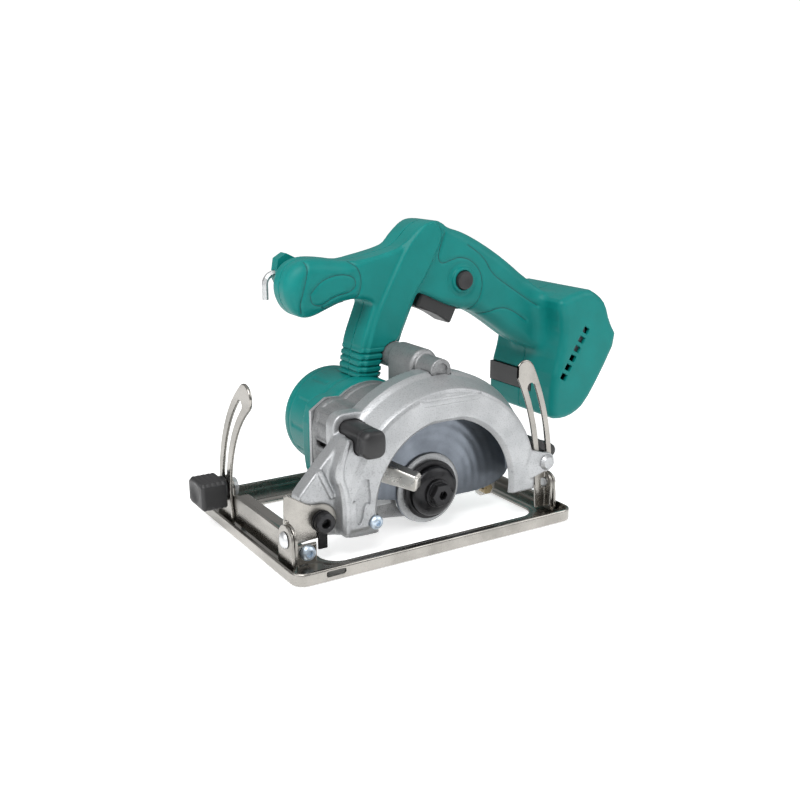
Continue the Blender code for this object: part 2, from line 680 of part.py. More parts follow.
def lower_guard():
    """Sprung sheet guard, drawn swung up inside the upper guard: a side wall and a rim over part of a turn."""
    start, end = LOWER_GUARD_SPAN
    rim = BLADE_RADIUS + 3.5
    side = (arc(SPINDLE, rim, start, end, 44) + arc(SPINDLE, 34.0, end, end + 20, 2)[1:2]
            + arc(SPINDLE, LOWER_HUB, end + 24, start + 336, 12)
            + arc(SPINDLE, 34.0, start - 20, start - 20, 1)[:1])
    item = plate("lower_guard", side, "Y", WALL_BACK, WALL_BACK + LOWER_GUARD_WALL,
                 [circle(SPINDLE, HUB_RADIUS + GAP, 40)])
    band = arc(SPINDLE, rim, start, end, 44) + arc(SPINDLE, rim - LOWER_GUARD_WALL, end, start, 44)
    join(item, plate("guard_rim", band, "Y", WALL_BACK + 0.5, LOWER_GUARD_EDGE))
    return dress(item, STEEL, "plated")


LOWER_GUARD_SPAN = (14.0, 178.0)
LOWER_HUB = 23.9
LOWER_GUARD_EDGE = 54.0
LEVER_ROOT = (27.5, 38.2, 48.0)
LEVER_TIP = (9.5, 63.5, 41.5)


def lower_guard_lever():
    """Cast arm on the lower guard's side wall, which leans out through the window."""
    root, tip = Vector(LEVER_ROOT), Vector(LEVER_TIP)
    along = (tip - root)
    length = along.length
    direction = along.normalized()
    up = Vector((0.3, 0, 0.95))
    side = direction.cross(up).normalized()
    up = side.cross(direction).normalized()
    mesh = bpy.data.meshes.new("lower_guard_lever")
    work = bmesh.new()
    bmesh.ops.create_cube(work, size=1)
    bmesh.ops.scale(work, vec=(length * MM, 8.0 * MM, 11.5 * MM), verts=work.verts)
    work.to_mesh(mesh)
    work.free()
    turn = Matrix((direction, side, up)).transposed().to_4x4()
    mesh.transform(Matrix.Translation((root + tip) / 2 * MM) @ turn)
    item = bpy.data.objects.new("lower_guard_lever", mesh)
    bpy.context.scene.collection.objects.link(item)
    foot = rod("lever_foot", "Y", (LEVER_ROOT[0], LEVER_ROOT[2]), LEVER_SEAT, LEVER_SEAT + 5.0, 7.2, 20)
    below = block("lever_trim", (-20, LEVER_SEAT - 30, 20), (60, LEVER_SEAT, 80))
    join(item, foot)
    cut(item, below)
    return dress(item, CAST, "cast")


LEVER_SEAT = WALL_BACK + LOWER_GUARD_WALL + GAP


def lower_guard_spring():
    """Torsion spring round the spindle boss, behind the lower guard's wall."""
    wire, turns = 0.4, 2.2
    return coil("lower_guard_spring", SPINDLE, CASE_FACE + GAP, WALL_BACK - GAP, HUB_RADIUS + 2.0, wire, turns)


def stop_bracket():
    outline = [(-74, 34), (-60, 34), (-58, 12), (-61, 9.5), (-70, 9.5), (-73, 13)]
    screw_hole = circle(BRACKET_SCREW, 2.0 + GAP, 12)
    item = plate("stop_bracket", outline, "Y", GUARD_BACK - GAP - 1.6, GUARD_BACK - GAP, [screw_hole])
    return dress(item, STEEL, "plated")


BRACKET_SCREW = (-65.0, 15.0)


def stop_bracket_screw():
    seat = GUARD_BACK
    head = plate("stop_bracket_screw", circle(BRACKET_SCREW, 4.0, 6), "Y", seat, seat + 3.2)
    shank = rod("bracket_shank", "Y", BRACKET_SCREW, seat - 6, seat + 1, 2.0, 12)
    return dress(join(head, shank), STEEL, "plated")


def guard_stop_rubber():
    """Rubber sleeve behind the stop screw, on the foot."""
    profile = [(2.2 + GAP, 58.1), (4.6, 58.1), (4.6, 55.2), (2.2 + GAP, 55.2)]
    return dress(turned("guard_stop_rubber", profile, "Y", GUARD_STOP, 20), BLACK, "rubber")


# ---------------------------------------------------------------- gear case, motor and drive
def case_outline():
    """Outline of the gear case: a boss round the spindle, a boxed front and a round top over the motor."""
    return (arc(SPINDLE, CASE_FOOT_RADIUS, 188, 292, 10)
            + [(22, 9.0), (42, 22.0), (49, 40.0), (49, 77.0), (38, 84.5)]
            + arc(MOTOR_AXIS, MOTOR_RADIUS, 52, 160, 12))


CASE_FOOT_RADIUS = 22.6
HORN_RADIUS = 10.4


def gear_case():
    """Cast case with its cavity open to the motor, the spindle boss and the fixing tube."""
    outline = case_outline()
    item = plate("gear_case", outline, "Y", CASE_BACK, CASE_FACE)
    horn = ([(TUBE[0] + HORN_RADIUS, 84)] + arc(TUBE, HORN_RADIUS, 0, 180, 10)
            + [(TUBE[0] - HORN_RADIUS - 2, 80)])
    join(item, plate("horn", horn, "Y", CASE_BACK, CASE_FACE - 6))
    join(item, rod("fixing_tube", "Y", TUBE, SHELL_NEAR - 12, CASE_FACE - 5, 9.0, 28))
    join(item, rod("fixing_tube_end", "Y", TUBE, CASE_FACE - 7, TUBE_END, TUBE_RADIUS, 28))
    join(item, rod("spindle_boss", "Y", SPINDLE, CASE_FACE - 1, HUB_FACE, HUB_RADIUS, 40))
    cut(item, plate("gear_space", inset(outline, CASE_WALL), "Y", CASE_BACK - 1, CASE_FACE - 9))
    cut(item, rod("near_bearing_seat", "Y", SPINDLE, CASE_FACE - 10, HUB_FACE - 1.5,
                  BEARING_RADIUS + GAP, 32))
    cut(item, rod("spindle_way", "Y", SPINDLE, HUB_FACE - 3, HUB_FACE + 1, 9.0, 32))
    cut(item, block("front_slot", (44, 2, 55.5), (52, 26, 59.5)))
    cut(item, rod("lock_pin_way", "Y", LOCK_PIN, CASE_FACE - 14, CASE_FACE + 1, LOCK_PIN_RADIUS + GAP, 16))
    return dress(item, CAST, "cast")


def motor_bracket():
    """Plate between the motor and the gear case, with the seats of three bearings."""
    item = plate("motor_bracket", inset(case_outline(), 0.0), "Y", CASE_BACK - 3.3, CASE_BACK - GAP,
                 [circle(MOTOR_AXIS, 9.5 + GAP, 28)])
    join(item, rod("idler_seat", "Y", IDLER, CASE_BACK - 3, CASE_BACK + 2.0, 6.0, 20))
    join(item, rod("spindle_seat", "Y", SPINDLE, CASE_BACK - 3, CASE_BACK + 5.0, BEARING_RADIUS + 2.5, 32))
    cut(item, rod("idler_hole", "Y", IDLER, CASE_BACK - 2, CASE_BACK + 3, 3.0 + GAP, 16))
    cut(item, rod("far_bearing_seat", "Y", SPINDLE, CASE_BACK - 1.3, CASE_BACK + 6, BEARING_RADIUS + GAP - 3, 32))
    return dress(item, CAST, "cast")


MODULE = 1.0                 # tooth size: the pitch radius is half the teeth times this
PINION_TEETH, IDLER_WHEEL_TEETH = 12, 28
IDLER_PINION_TEETH, SPINDLE_WHEEL_TEETH = 14, 30
PINION = PINION_TEETH * MODULE / 2
IDLER_WHEEL = IDLER_WHEEL_TEETH * MODULE / 2
IDLER_PINION = IDLER_PINION_TEETH * MODULE / 2
SPINDLE_WHEEL = SPINDLE_WHEEL_TEETH * MODULE / 2


def idler_axis():
    """The idler's axis lies where both of its gear meshes meet, on the front side."""
    s, m = Vector(SPINDLE), Vector(MOTOR_AXIS)
    from_spindle, from_motor = IDLER_PINION + SPINDLE_WHEEL, PINION + IDLER_WHEEL
    span = (m - s).length
    direction = (m - s).normalized()
    along = (from_spindle ** 2 - from_motor ** 2 + span ** 2) / (2 * span)
    away = math.sqrt(from_spindle ** 2 - along ** 2)
    across = Vector((direction.y, -direction.x))
    return tuple(s + direction * along + across * away)


IDLER = idler_axis()
TOOTH = 1.6
TIP_CLEARANCE = 0.15
FIRST_MESH = (-1.5 + 3.0, 8.0)
SECOND_MESH = (9.0, 19.0)


def motor_housing():
    """Moulded motor housing: a round cup with a flange that matches the gear case."""
    r, end, face = MOTOR_RADIUS, MOTOR_END, MOTOR_FACE
    profile = [(r - SHELL_WALL, face), (r, face), (r, end + 9), (r - 1.6, end + 4), (r - 6, end + 0.8),
               (r - 12, end), (0, end), (0, end + 3), (r - 12, end + 3), (r - 7, end + 4.2),
               (r - SHELL_WALL, end + 9)]
    item = turned("motor_housing", profile, "Y", MOTOR_AXIS, 60)
    flange = plate("housing_flange", case_outline(), "Y", face - 10, face)
    space = plate("flange_space", inset(case_outline(), SHELL_WALL), "Y", face - 7, face + 1)
    bore = rod("housing_bore", "Y", MOTOR_AXIS, face - 20, face + 1, r - SHELL_WALL, 60)
    join(item, flange)
    cut(item, space, bore)
    seat = turned("bearing_cup", [(9.5 + GAP, end + 10), (12.5, end + 10), (12.5, end + 2),
                                  (9.5 + GAP, end + 2)], "Y", MOTOR_AXIS, 32)
    join(item, seat)
    vents = 10
    for index in range(vents):
        angle = 360 / vents * (index + 0.5)
        outline = local_box(MOTOR_AXIS, angle, (16.0, 26.0), (-1.7, 1.7))
        cut(item, plate("vent_%d" % index, outline, "Y", end - 2, end + 5))
    return dress(item, TEAL, "moulded")


def motor_stator():
    inner, outer = 17.0, MOTOR_RADIUS - SHELL_WALL - GAP
    poles = 6
    item = plate("motor_stator", circle(MOTOR_AXIS, outer, 48), "Y", STATOR[0], STATOR[1],
                 [circle(MOTOR_AXIS, inner, 36)])
    for index in range(poles):
        angle = 360 / poles * index
        outline = local_box(MOTOR_AXIS, angle, (20.0, 26.5), (-3.2, 3.2))
        cut(item, plate("winding_slot_%d" % index, outline, "Y", STATOR[0] - 1, STATOR[1] + 1))
    return dress(item, COPPER, "cast")


STATOR = (-50.0, -22.0)


def rotor():
    """Magnet rotor on the motor shaft, with the pinion cut on the shaft's end."""
    front = FIRST_MESH[1]
    profile = [(4.0, front), (4.0, STATOR[1] + 1), (16.2, STATOR[1] + 1), (16.2, STATOR[0] - 1),
               (4.0, STATOR[0] - 1), (4.0, MOTOR_END + 4.5), (0, MOTOR_END + 4.5)]
    item = turned("rotor", [(0, front)] + profile, "Y", MOTOR_AXIS, 28)
    pinion = plate("pinion", gear_outline(MOTOR_AXIS, PINION - TIP_CLEARANCE, PINION_TEETH, TOOTH), "Y",
                   FIRST_MESH[0], FIRST_MESH[1] + 0.5)
    return dress(join(item, pinion), STEEL, "plated")


def rotor_fan():
    """Cooling fan on the rotor shaft, between the stator and the motor bracket."""
    profile = [(4.0 + GAP, -11.0), (9.0, -11.0), (9.0, -17.2), (28.0, -17.2), (28.0, -18.7),
               (4.0 + GAP, -18.7)]
    item = turned("rotor_fan", profile, "Y", MOTOR_AXIS, 36)
    for index in range(9):
        outline = local_box(MOTOR_AXIS, 40 * index, (8.0, 27.0), (-0.7, 0.7))
        join(item, plate("fan_blade_%d" % index, outline, "Y", -17.5, -12.0))
    return dress(item, BLACK, "moulded")


def bearing(name, centre, bore, outer, low, high):
    """A sealed ball bearing as one ring, with a groove on each side between its races."""
    middle = (bore + outer) / 2
    half = (outer - bore) * 0.22
    profile = [(bore, high), (middle - half, high), (middle - half, high - 0.6), (middle + half, high - 0.6),
               (middle + half, high), (outer, high), (outer, low), (middle + half, low),
               (middle + half, low + 0.6), (middle - half, low + 0.6), (middle - half, low), (bore, low)]
    return dress(turned(name, profile, "Y", centre, 28), STEEL, "plated")


def idler_gear():
    """Intermediate shaft with the wheel of the first mesh and the pinion of the second."""
    item = rod("idler_gear", "Y", IDLER, CASE_BACK - 1.6, SECOND_MESH[1] + 2, 3.0, 16)
    wheel = plate("idler_wheel", gear_outline(IDLER, IDLER_WHEEL - TIP_CLEARANCE, IDLER_WHEEL_TEETH, TOOTH),
                  "Y", FIRST_MESH[0] + 1.2, FIRST_MESH[1])
    small = plate("idler_pinion", gear_outline(IDLER, IDLER_PINION - TIP_CLEARANCE, IDLER_PINION_TEETH, TOOTH),
                  "Y", FIRST_MESH[1] - 0.5, SECOND_MESH[1])
    return dress(join(item, wheel, small), STEEL, "plated")


def spindle_gear():
    teeth = gear_outline(SPINDLE, SPINDLE_WHEEL - TIP_CLEARANCE, SPINDLE_WHEEL_TEETH, TOOTH)
    item = plate("spindle_gear", teeth, "Y", SECOND_MESH[0], SECOND_MESH[1],
                 [circle(SPINDLE, SHAFT_RADIUS + GAP, 24)])
    return dress(item, STEEL, "plated")


def spindle():
    """Output spindle with a tapped end for the blade bolt."""
    r = SHAFT_RADIUS
    end = INNER_FLANGE[1] + 1.6
    profile = [(4.0 + GAP, end), (r, end), (r, CASE_BACK - 1.0), (0, CASE_BACK - 1.0), (0, end - 14),
               (4.0 + GAP, end - 14)]
    return dress(turned("spindle", profile, "Y", SPINDLE, 28), STEEL, "plated")


def bearing_retainer():
    profile = [(8.6, 40.2), (22.0, 40.2), (23.6, 39.4), (23.6, 38.2), (20.0, 38.2), (20.0, HUB_FACE + GAP),
               (8.6, HUB_FACE + GAP)]
    return dress(turned("bearing_retainer", profile, "Y", SPINDLE, 40), CAST, "cast")


def inner_flange():
    low, high = INNER_FLANGE
    profile = [(SHAFT_RADIUS + GAP, high), (17.5, high), (19.6, high - 0.8), (19.6, low + 0.8), (18.6, low),
               (SHAFT_RADIUS + GAP, low)]
    return dress(turned("inner_flange", profile, "Y", SPINDLE, 40), BLACK, "plated")


def outer_flange():
    low, high = OUTER_FLANGE
    profile = [(4.0 + GAP, high), (9.0, high), (13.5, high - 0.9), (16.2, high - 2.6), (16.6, high - 3.4),
               (16.6, low), (4.0 + GAP, low)]
    return dress(turned("outer_flange", profile, "Y", SPINDLE, 40), BLACK, "plated")


def blade_bolt():
    """Hexagon-head bolt with a washer face and a socket in its head."""
    low = OUTER_FLANGE[1] + GAP
    item = plate("blade_bolt", circle(SPINDLE, 7.6, 6), "Y", low + 1.4, low + 6.6,
                 [circle(SPINDLE, 3.1, 6)])
    washer = rod("bolt_washer", "Y", SPINDLE, low, low + 2.0, 9.2, 28)
    shank = rod("bolt_shank", "Y", SPINDLE, INNER_FLANGE[1] - 9, low + 0.5, 4.0, 20)
    return dress(join(item, washer, shank), BLACK, "plated")


# ---------------------------------------------------------------- spindle lock
def lock_outline(margin=0.0):
    return rounded_box((LOCK_AXIS[0] - LOCK_HALF[0] - margin, LOCK_AXIS[1] - LOCK_HALF[1] - margin),
                       (LOCK_AXIS[0] + LOCK_HALF[0] + margin, LOCK_AXIS[1] + LOCK_HALF[1] + margin),
                       LOCK_CORNER + margin)


def spindle_lock_button():
    """Moulded push block in the guard's collar, on a steel plunger that enters the gear case."""
    item = plate("spindle_lock_button", lock_outline(), "Y", LOCK_REACH[0] + 5.5, LOCK_REACH[1])
    pin = rod("lock_pin", "Y", LOCK_PIN, CASE_FACE - 8.0, LOCK_REACH[0] + 6.0,
              LOCK_PIN_RADIUS, 16)
    return dress(join(item, pin), BLACK, "moulded")


LOCK_PIN = (LOCK_AXIS[0] - 4.0, LOCK_AXIS[1] - 3.0)
LOCK_PIN_RADIUS = 2.2


def coil(name, axis_centre, low, high, radius, wire, turns):
    points = []
    per_turn = 12
    steps = int(turns * per_turn)
    for index in range(steps + 1):
        share = index / steps
        x, z = polar(axis_centre, radius, 360 * turns * share)
        points.append((x, low + wire + (high - low - 2 * wire) * share, z))
    return dress(tube(name, points, wire, 1), STEEL, "plated")


# ---------------------------------------------------------------- handle
TRIGGER_FRONT = (-39.0, 135.0)
TRIGGER_ANGLE = 180 + 26.2
TRIGGER_LENGTH = 33.0
TRIGGER_HALF = 10.0
LOCK_OFF = (-74.7, 151.5)
LOCK_OFF_RADIUS = 6.4
SADDLE = GAP + 0.1


def frame_outline():
    """Side outline of the column, the front grip and the main handle, without the dock."""
    saddle = arc(MOTOR_AXIS, MOTOR_RADIUS + SADDLE, 115, 85, 6)
    tube_seat = arc(TUBE, 9.0 + FIT, 0, 128, 7)
    front = [(7.5, 103), (4.5, 117), (-2, 133), (-5, 141), (2, 144.5), (13, 144.2), (27, 139.5), (38, 135),
             (46, 134.6), (53, 139), (57.5, 147), (58.6, 156), (55.5, 165.5), (49, 171), (40, 173),
             (28, 172), (13, 169.2), (-4, 171.5), (-24, 176)]
    crown = [(-30, 180.5), (-37, 187.5), (-44, 192), (-52, 193.2), (-58.5, 191.5), (-64, 187.5)]
    back = [(-78, 184), (-91, 177.8), (-107, 168.5), (-123, 157.5), (-139, 144.8), (-152, 131), (-152, 104),
            (-142, 96), (-132, 99.2), (-122, 105), (-106, 116.5), (-91, 126), (-80, 129.6)]
    inner = [(-73, 130.0), (-43.3, 144.4), (-38.5, 145), (-36, 140), (-30.5, 128), (-26.8, 120)]
    return saddle + front + crown + back + inner + tube_seat[::-1]


def dock_outline():
    """Side outline of the battery dock."""
    return [(-139, 54), (-140, 75), (-146, 95), (-147.5, 115), (-143, 131), (-147, 135.5), (-171, 141),
            (-182, 135), (-189, 128), (-193.5, 115), (-202, 102), (-186.5, 74.5), (-172, 53.5),
            (-162, 47.5), (-152, 45.2), (-141, 46.5)]


BAY_POINT = (-186.5, 74.5)             # on the battery face
BAY_ANGLE = -60.0                      # the battery slides along this direction
BAY_HALF = 28.0
BAY_DEPTH = 9.0
BAY_LENGTH = (-25.0, 20.0)
GRILLE = ((-64.0, 63.0), (-14.0, 77.5))   # y, z corners
GRILLE_FACE = -139.3


def dock_space():
    """Hollow of the dock: its outline moved in, and cut off above the floor of the battery bay."""
    return [(-143.5, 58), (-143.5, 75), (-149.5, 95), (-151, 115), (-147.5, 129), (-171, 136.6),
            (-180, 131), (-185.5, 124), (-189.5, 113.5), (-191.0, 108.5), (-160.5, 55.8), (-152, 50.2),
            (-144, 51)]


def handle_shell(name, near):
    """One moulded half of the handle, the front grip and the battery dock."""
    middle = HANDLE_MIDDLE + (0.15 if near else -0.15)
    side = 1 if near else -1
    outer = HANDLE_MIDDLE + side * HANDLE_HALF
    dock = HANDLE_MIDDLE + side * DOCK_HALF
    span = sorted((middle, outer))
    dock_span = sorted((middle, dock))
    item = plate(name, frame_outline(), "Y", *span)
    join(item, plate(name + "_dock", dock_outline(), "Y", *dock_span))
    wall = SHELL_WALL
    space = sorted((middle - side, outer - side * wall))
    dock_hollow = sorted((middle - side, dock - side * wall))
    cut(item, plate(name + "_hollow", inset(frame_outline(), wall), "Y", *space))
    cut(item, plate(name + "_dock_hollow", dock_space(), "Y", *dock_hollow))
    bay = local_box(BAY_POINT, BAY_ANGLE, BAY_LENGTH, (-20.0, BAY_DEPTH))
    bay_span = sorted((middle - side, HANDLE_MIDDLE + side * BAY_HALF))
    cut(item, plate(name + "_bay", bay, "Y", *bay_span))
    trigger_way = local_box(TRIGGER_FRONT, TRIGGER_ANGLE, (-0.5, TRIGGER_LENGTH + 0.5), (-20, -4.0))
    way_span = sorted((middle - side, HANDLE_MIDDLE + side * (TRIGGER_HALF + 0.5)))
    cut(item, plate(name + "_trigger_way", trigger_way, "Y", *way_span))
    cut(item, rod(name + "_lock_off_way", "Y", LOCK_OFF, *sorted((middle - side, outer + side * 2)),
                  LOCK_OFF_RADIUS + FIT, 28))
    low, high = GRILLE
    grille_span = sorted((middle - side, HANDLE_MIDDLE + side * 60))
    cut(item, block(name + "_grille_way", (GRILLE_FACE - 8, max(grille_span[0], low[0]) - GAP, low[1] - GAP),
                    (GRILLE_FACE + 4, min(grille_span[1], high[0]) + GAP, high[1] + GAP)))
    if near:
        vents = 6
        for index in range(vents):
            share = index / (vents - 1)
            centre = (-168.5 + 19.5 * share, 110.5 - 32.5 * share)
            outline = local_box(centre, BAY_ANGLE, (-2.2, 2.2), (-2.6, 2.6))
            cut(item, plate("dock_vent_%d" % index, outline, "Y", dock - wall - 1, dock + 1))
    else:
        for label, centre in SCREW_SEATS.items():
            cut(item, rod("seat_" + label, "Y", centre, outer - 2, outer + 1.6, 3.4, 16))
            cut(item, rod("way_" + label, "Y", centre, outer - 2, outer + wall + 2, 1.8, 12))
    return dress(item, TEAL, "moulded")


SCREW_SEATS = {"1": (44.0, 146.0), "2": (-2.0, 152.0), "3": (-50.0, 184.0), "4": (-107.0, 148.0)}


def handle_screw(label):
    """Countersunk handle screw from the far side."""
    centre = SCREW_SEATS[label]
    outer = HANDLE_MIDDLE - HANDLE_HALF
    name = "handle_screw_" + label
    head = rod(name, "Y", centre, outer - 0.2, outer + 1.6 - GAP, 3.1, 16)
    shank = rod(name + "_shank", "Y", centre, outer + 1, outer + 14, 1.5, 12)
    return dress(join(head, shank), BLACK, "plated")


def trigger():
    """Moulded trigger that slides into the handle."""
    outline = local_box(TRIGGER_FRONT, TRIGGER_ANGLE, (0, TRIGGER_LENGTH), (-13.5, 0))
    item = plate("trigger", outline, "Y", HANDLE_MIDDLE - TRIGGER_HALF, HANDLE_MIDDLE + TRIGGER_HALF)
    round_edges(item, 1.2)
    return dress(item, BLACK, "moulded")


def switch_body():
    outline = local_box(TRIGGER_FRONT, TRIGGER_ANGLE, (1.0, 17.0), (-33.5, -19.6))
    half = HANDLE_HALF - SHELL_WALL - GAP
    return dress(plate("switch_body", outline, "Y", HANDLE_MIDDLE - half, HANDLE_MIDDLE + half),
                 BLACK, "moulded")


def trigger_spring():
    """Spring between the trigger and the switch body, along the trigger's travel."""
    a = Vector((math.cos(math.radians(TRIGGER_ANGLE)), 0, math.sin(math.radians(TRIGGER_ANGLE))))
    n = Vector((a.z, 0, -a.x))
    origin = Vector((TRIGGER_FRONT[0], HANDLE_MIDDLE, TRIGGER_FRONT[1])) + a * 9
    points = []
    steps = 40
    low, high, radius = 14.5, 19.0, 2.6
    for index in range(steps + 1):
        share = index / steps
        angle = math.tau * 3.3 * share
        across = a * math.cos(angle) * radius + Vector((0, 1, 0)) * math.sin(angle) * radius
        points.append(tuple(origin + n * (low + (high - low) * share) + across))
    return dress(tube("trigger_spring", points, 0.4, 1), STEEL, "plated")


def lock_off_button():
    """Cross bolt through both shells, proud on each side."""
    low, high = SHELL_FAR - 2.6, SHELL_NEAR + 2.6
    r = LOCK_OFF_RADIUS
    profile = [(0, high), (r - 0.9, high), (r, high - 0.9), (r, low + 0.9), (r - 0.9, low), (0, low)]
    return dress(turned("lock_off_button", profile, "Y", LOCK_OFF, 28), BLACK, "moulded")


def dock_grille():
    low, high = GRILLE
    item = block("dock_grille", (GRILLE_FACE - 3.6, low[0], low[1]), (GRILLE_FACE, high[0], high[1]))
    return dress(item, BLACK, "moulded")


def terminal_block():
    outline = local_box(BAY_POINT, BAY_ANGLE, (-19, 12), (3.0, BAY_DEPTH - GAP))
    item = plate("terminal_block", outline, "Y", HANDLE_MIDDLE - 13, HANDLE_MIDDLE + 13)
    for index, shift in enumerate((-8.5, 0.0, 8.5)):
        blade_way = local_box(BAY_POINT, BAY_ANGLE, (-20, 7), (2.0, 6.5))
        cut(item, plate("terminal_way_%d" % index, blade_way, "Y", HANDLE_MIDDLE + shift - 1.3,
                        HANDLE_MIDDLE + shift + 1.3))
    return dress(item, BLACK, "moulded")


def control_board():
    """Potted controller in the dock, against the near wall."""
    item = block("control_board", (-171, HANDLE_MIDDLE - 30, 93), (-152.5, HANDLE_MIDDLE + DOCK_HALF
                 - SHELL_WALL - GAP, 122), 1.5)
    return dress(item, COPPER, "moulded")


def hex_key():
    """Stored hexagon key: a long arm along X and a short arm that turns up, with a bend by formula."""
    y, z = KEY_AXIS
    bend = 7.0
    points = [(8.0, y, z), (30.0, y, z), (KEY_FRONT - bend, y, z)]
    for index in range(1, 7):
        angle = math.radians(15 * index)
        points.append((KEY_FRONT - bend + bend * math.sin(angle), y, z - bend + bend * math.cos(angle)))
    points.append((KEY_FRONT, y, z - 17))
    return dress(tube("hex_key", points, KEY_RADIUS, 1), STEEL, "plated")


KEY_AXIS = (SHELL_FAR - 4.5, 161.0)   # y, z
KEY_FRONT = 58.0
KEY_RADIUS = 2.1


def key_clip():
    """Moulded clip on the far side of the front grip."""
    y, z = KEY_AXIS
    outline = [(34, z - 6.5), (50, z - 6.5), (52, z - 2), (50, z + 9.5), (44, z + 13), (38, z + 10), (34, z + 2)]
    item = plate("key_clip", outline, "Y", y - 4.2, SHELL_FAR - GAP)
    cut(item, rod("key_way", "X", KEY_AXIS, 20, 60, KEY_RADIUS + GAP, 16))
    cut(item, block("key_mouth", (20, y - 8, z - 1.4), (60, y, z + 1.4)))
    return dress(item, TEAL, "moulded")


# ---------------------------------------------------------------- depth lock
def depth_bolt():
    """Bolt from the guard's lug through the depth guide to its knob."""
    head_seat = GUARD_FACE + 0.8 + GAP
    item = rod("depth_bolt", "Y", DEPTH_BOLT, KNOB_NEAR - 6, head_seat + 1, BOLT_RADIUS, 16)
    head = rod("depth_bolt_head", "Y", DEPTH_BOLT, head_seat, head_seat + 2.4, 5.4, 20, 4.0)
    return dress(join(item, head), STEEL, "plated")


KNOB_NEAR = 56.0
HUB_NEAR = 50.5
KNOB_FAR = 35.0


def depth_knob():
    """Moulded wing knob behind the depth guide, with a short neck as its washer."""
    profile = [(BOLT_RADIUS + GAP, KNOB_NEAR), (6.8, KNOB_NEAR), (6.8, HUB_NEAR + 1.0), (10.5, HUB_NEAR),
               (12.4, HUB_NEAR - 3), (12.4, KNOB_FAR + 3), (10.5, KNOB_FAR), (0, KNOB_FAR),
               (0, KNOB_NEAR - 6 - GAP), (BOLT_RADIUS + GAP, KNOB_NEAR - 6 - GAP)]
    item = turned("depth_knob", profile, "Y", DEPTH_BOLT, 32)
    x, z = DEPTH_BOLT
    wing = [(x, z - 10.8), (x - 12, z - 8.5), (x - 20.5, z - 3.5), (x - 22.5, z + 0.5), (x - 20.5, z + 4.5),
            (x - 12, z + 8.5), (x, z + 10.8)]
    return dress(join(item, plate("knob_wing", wing, "Y", KNOB_FAR + 4, HUB_NEAR - 3.5)), BLACK, "moulded")


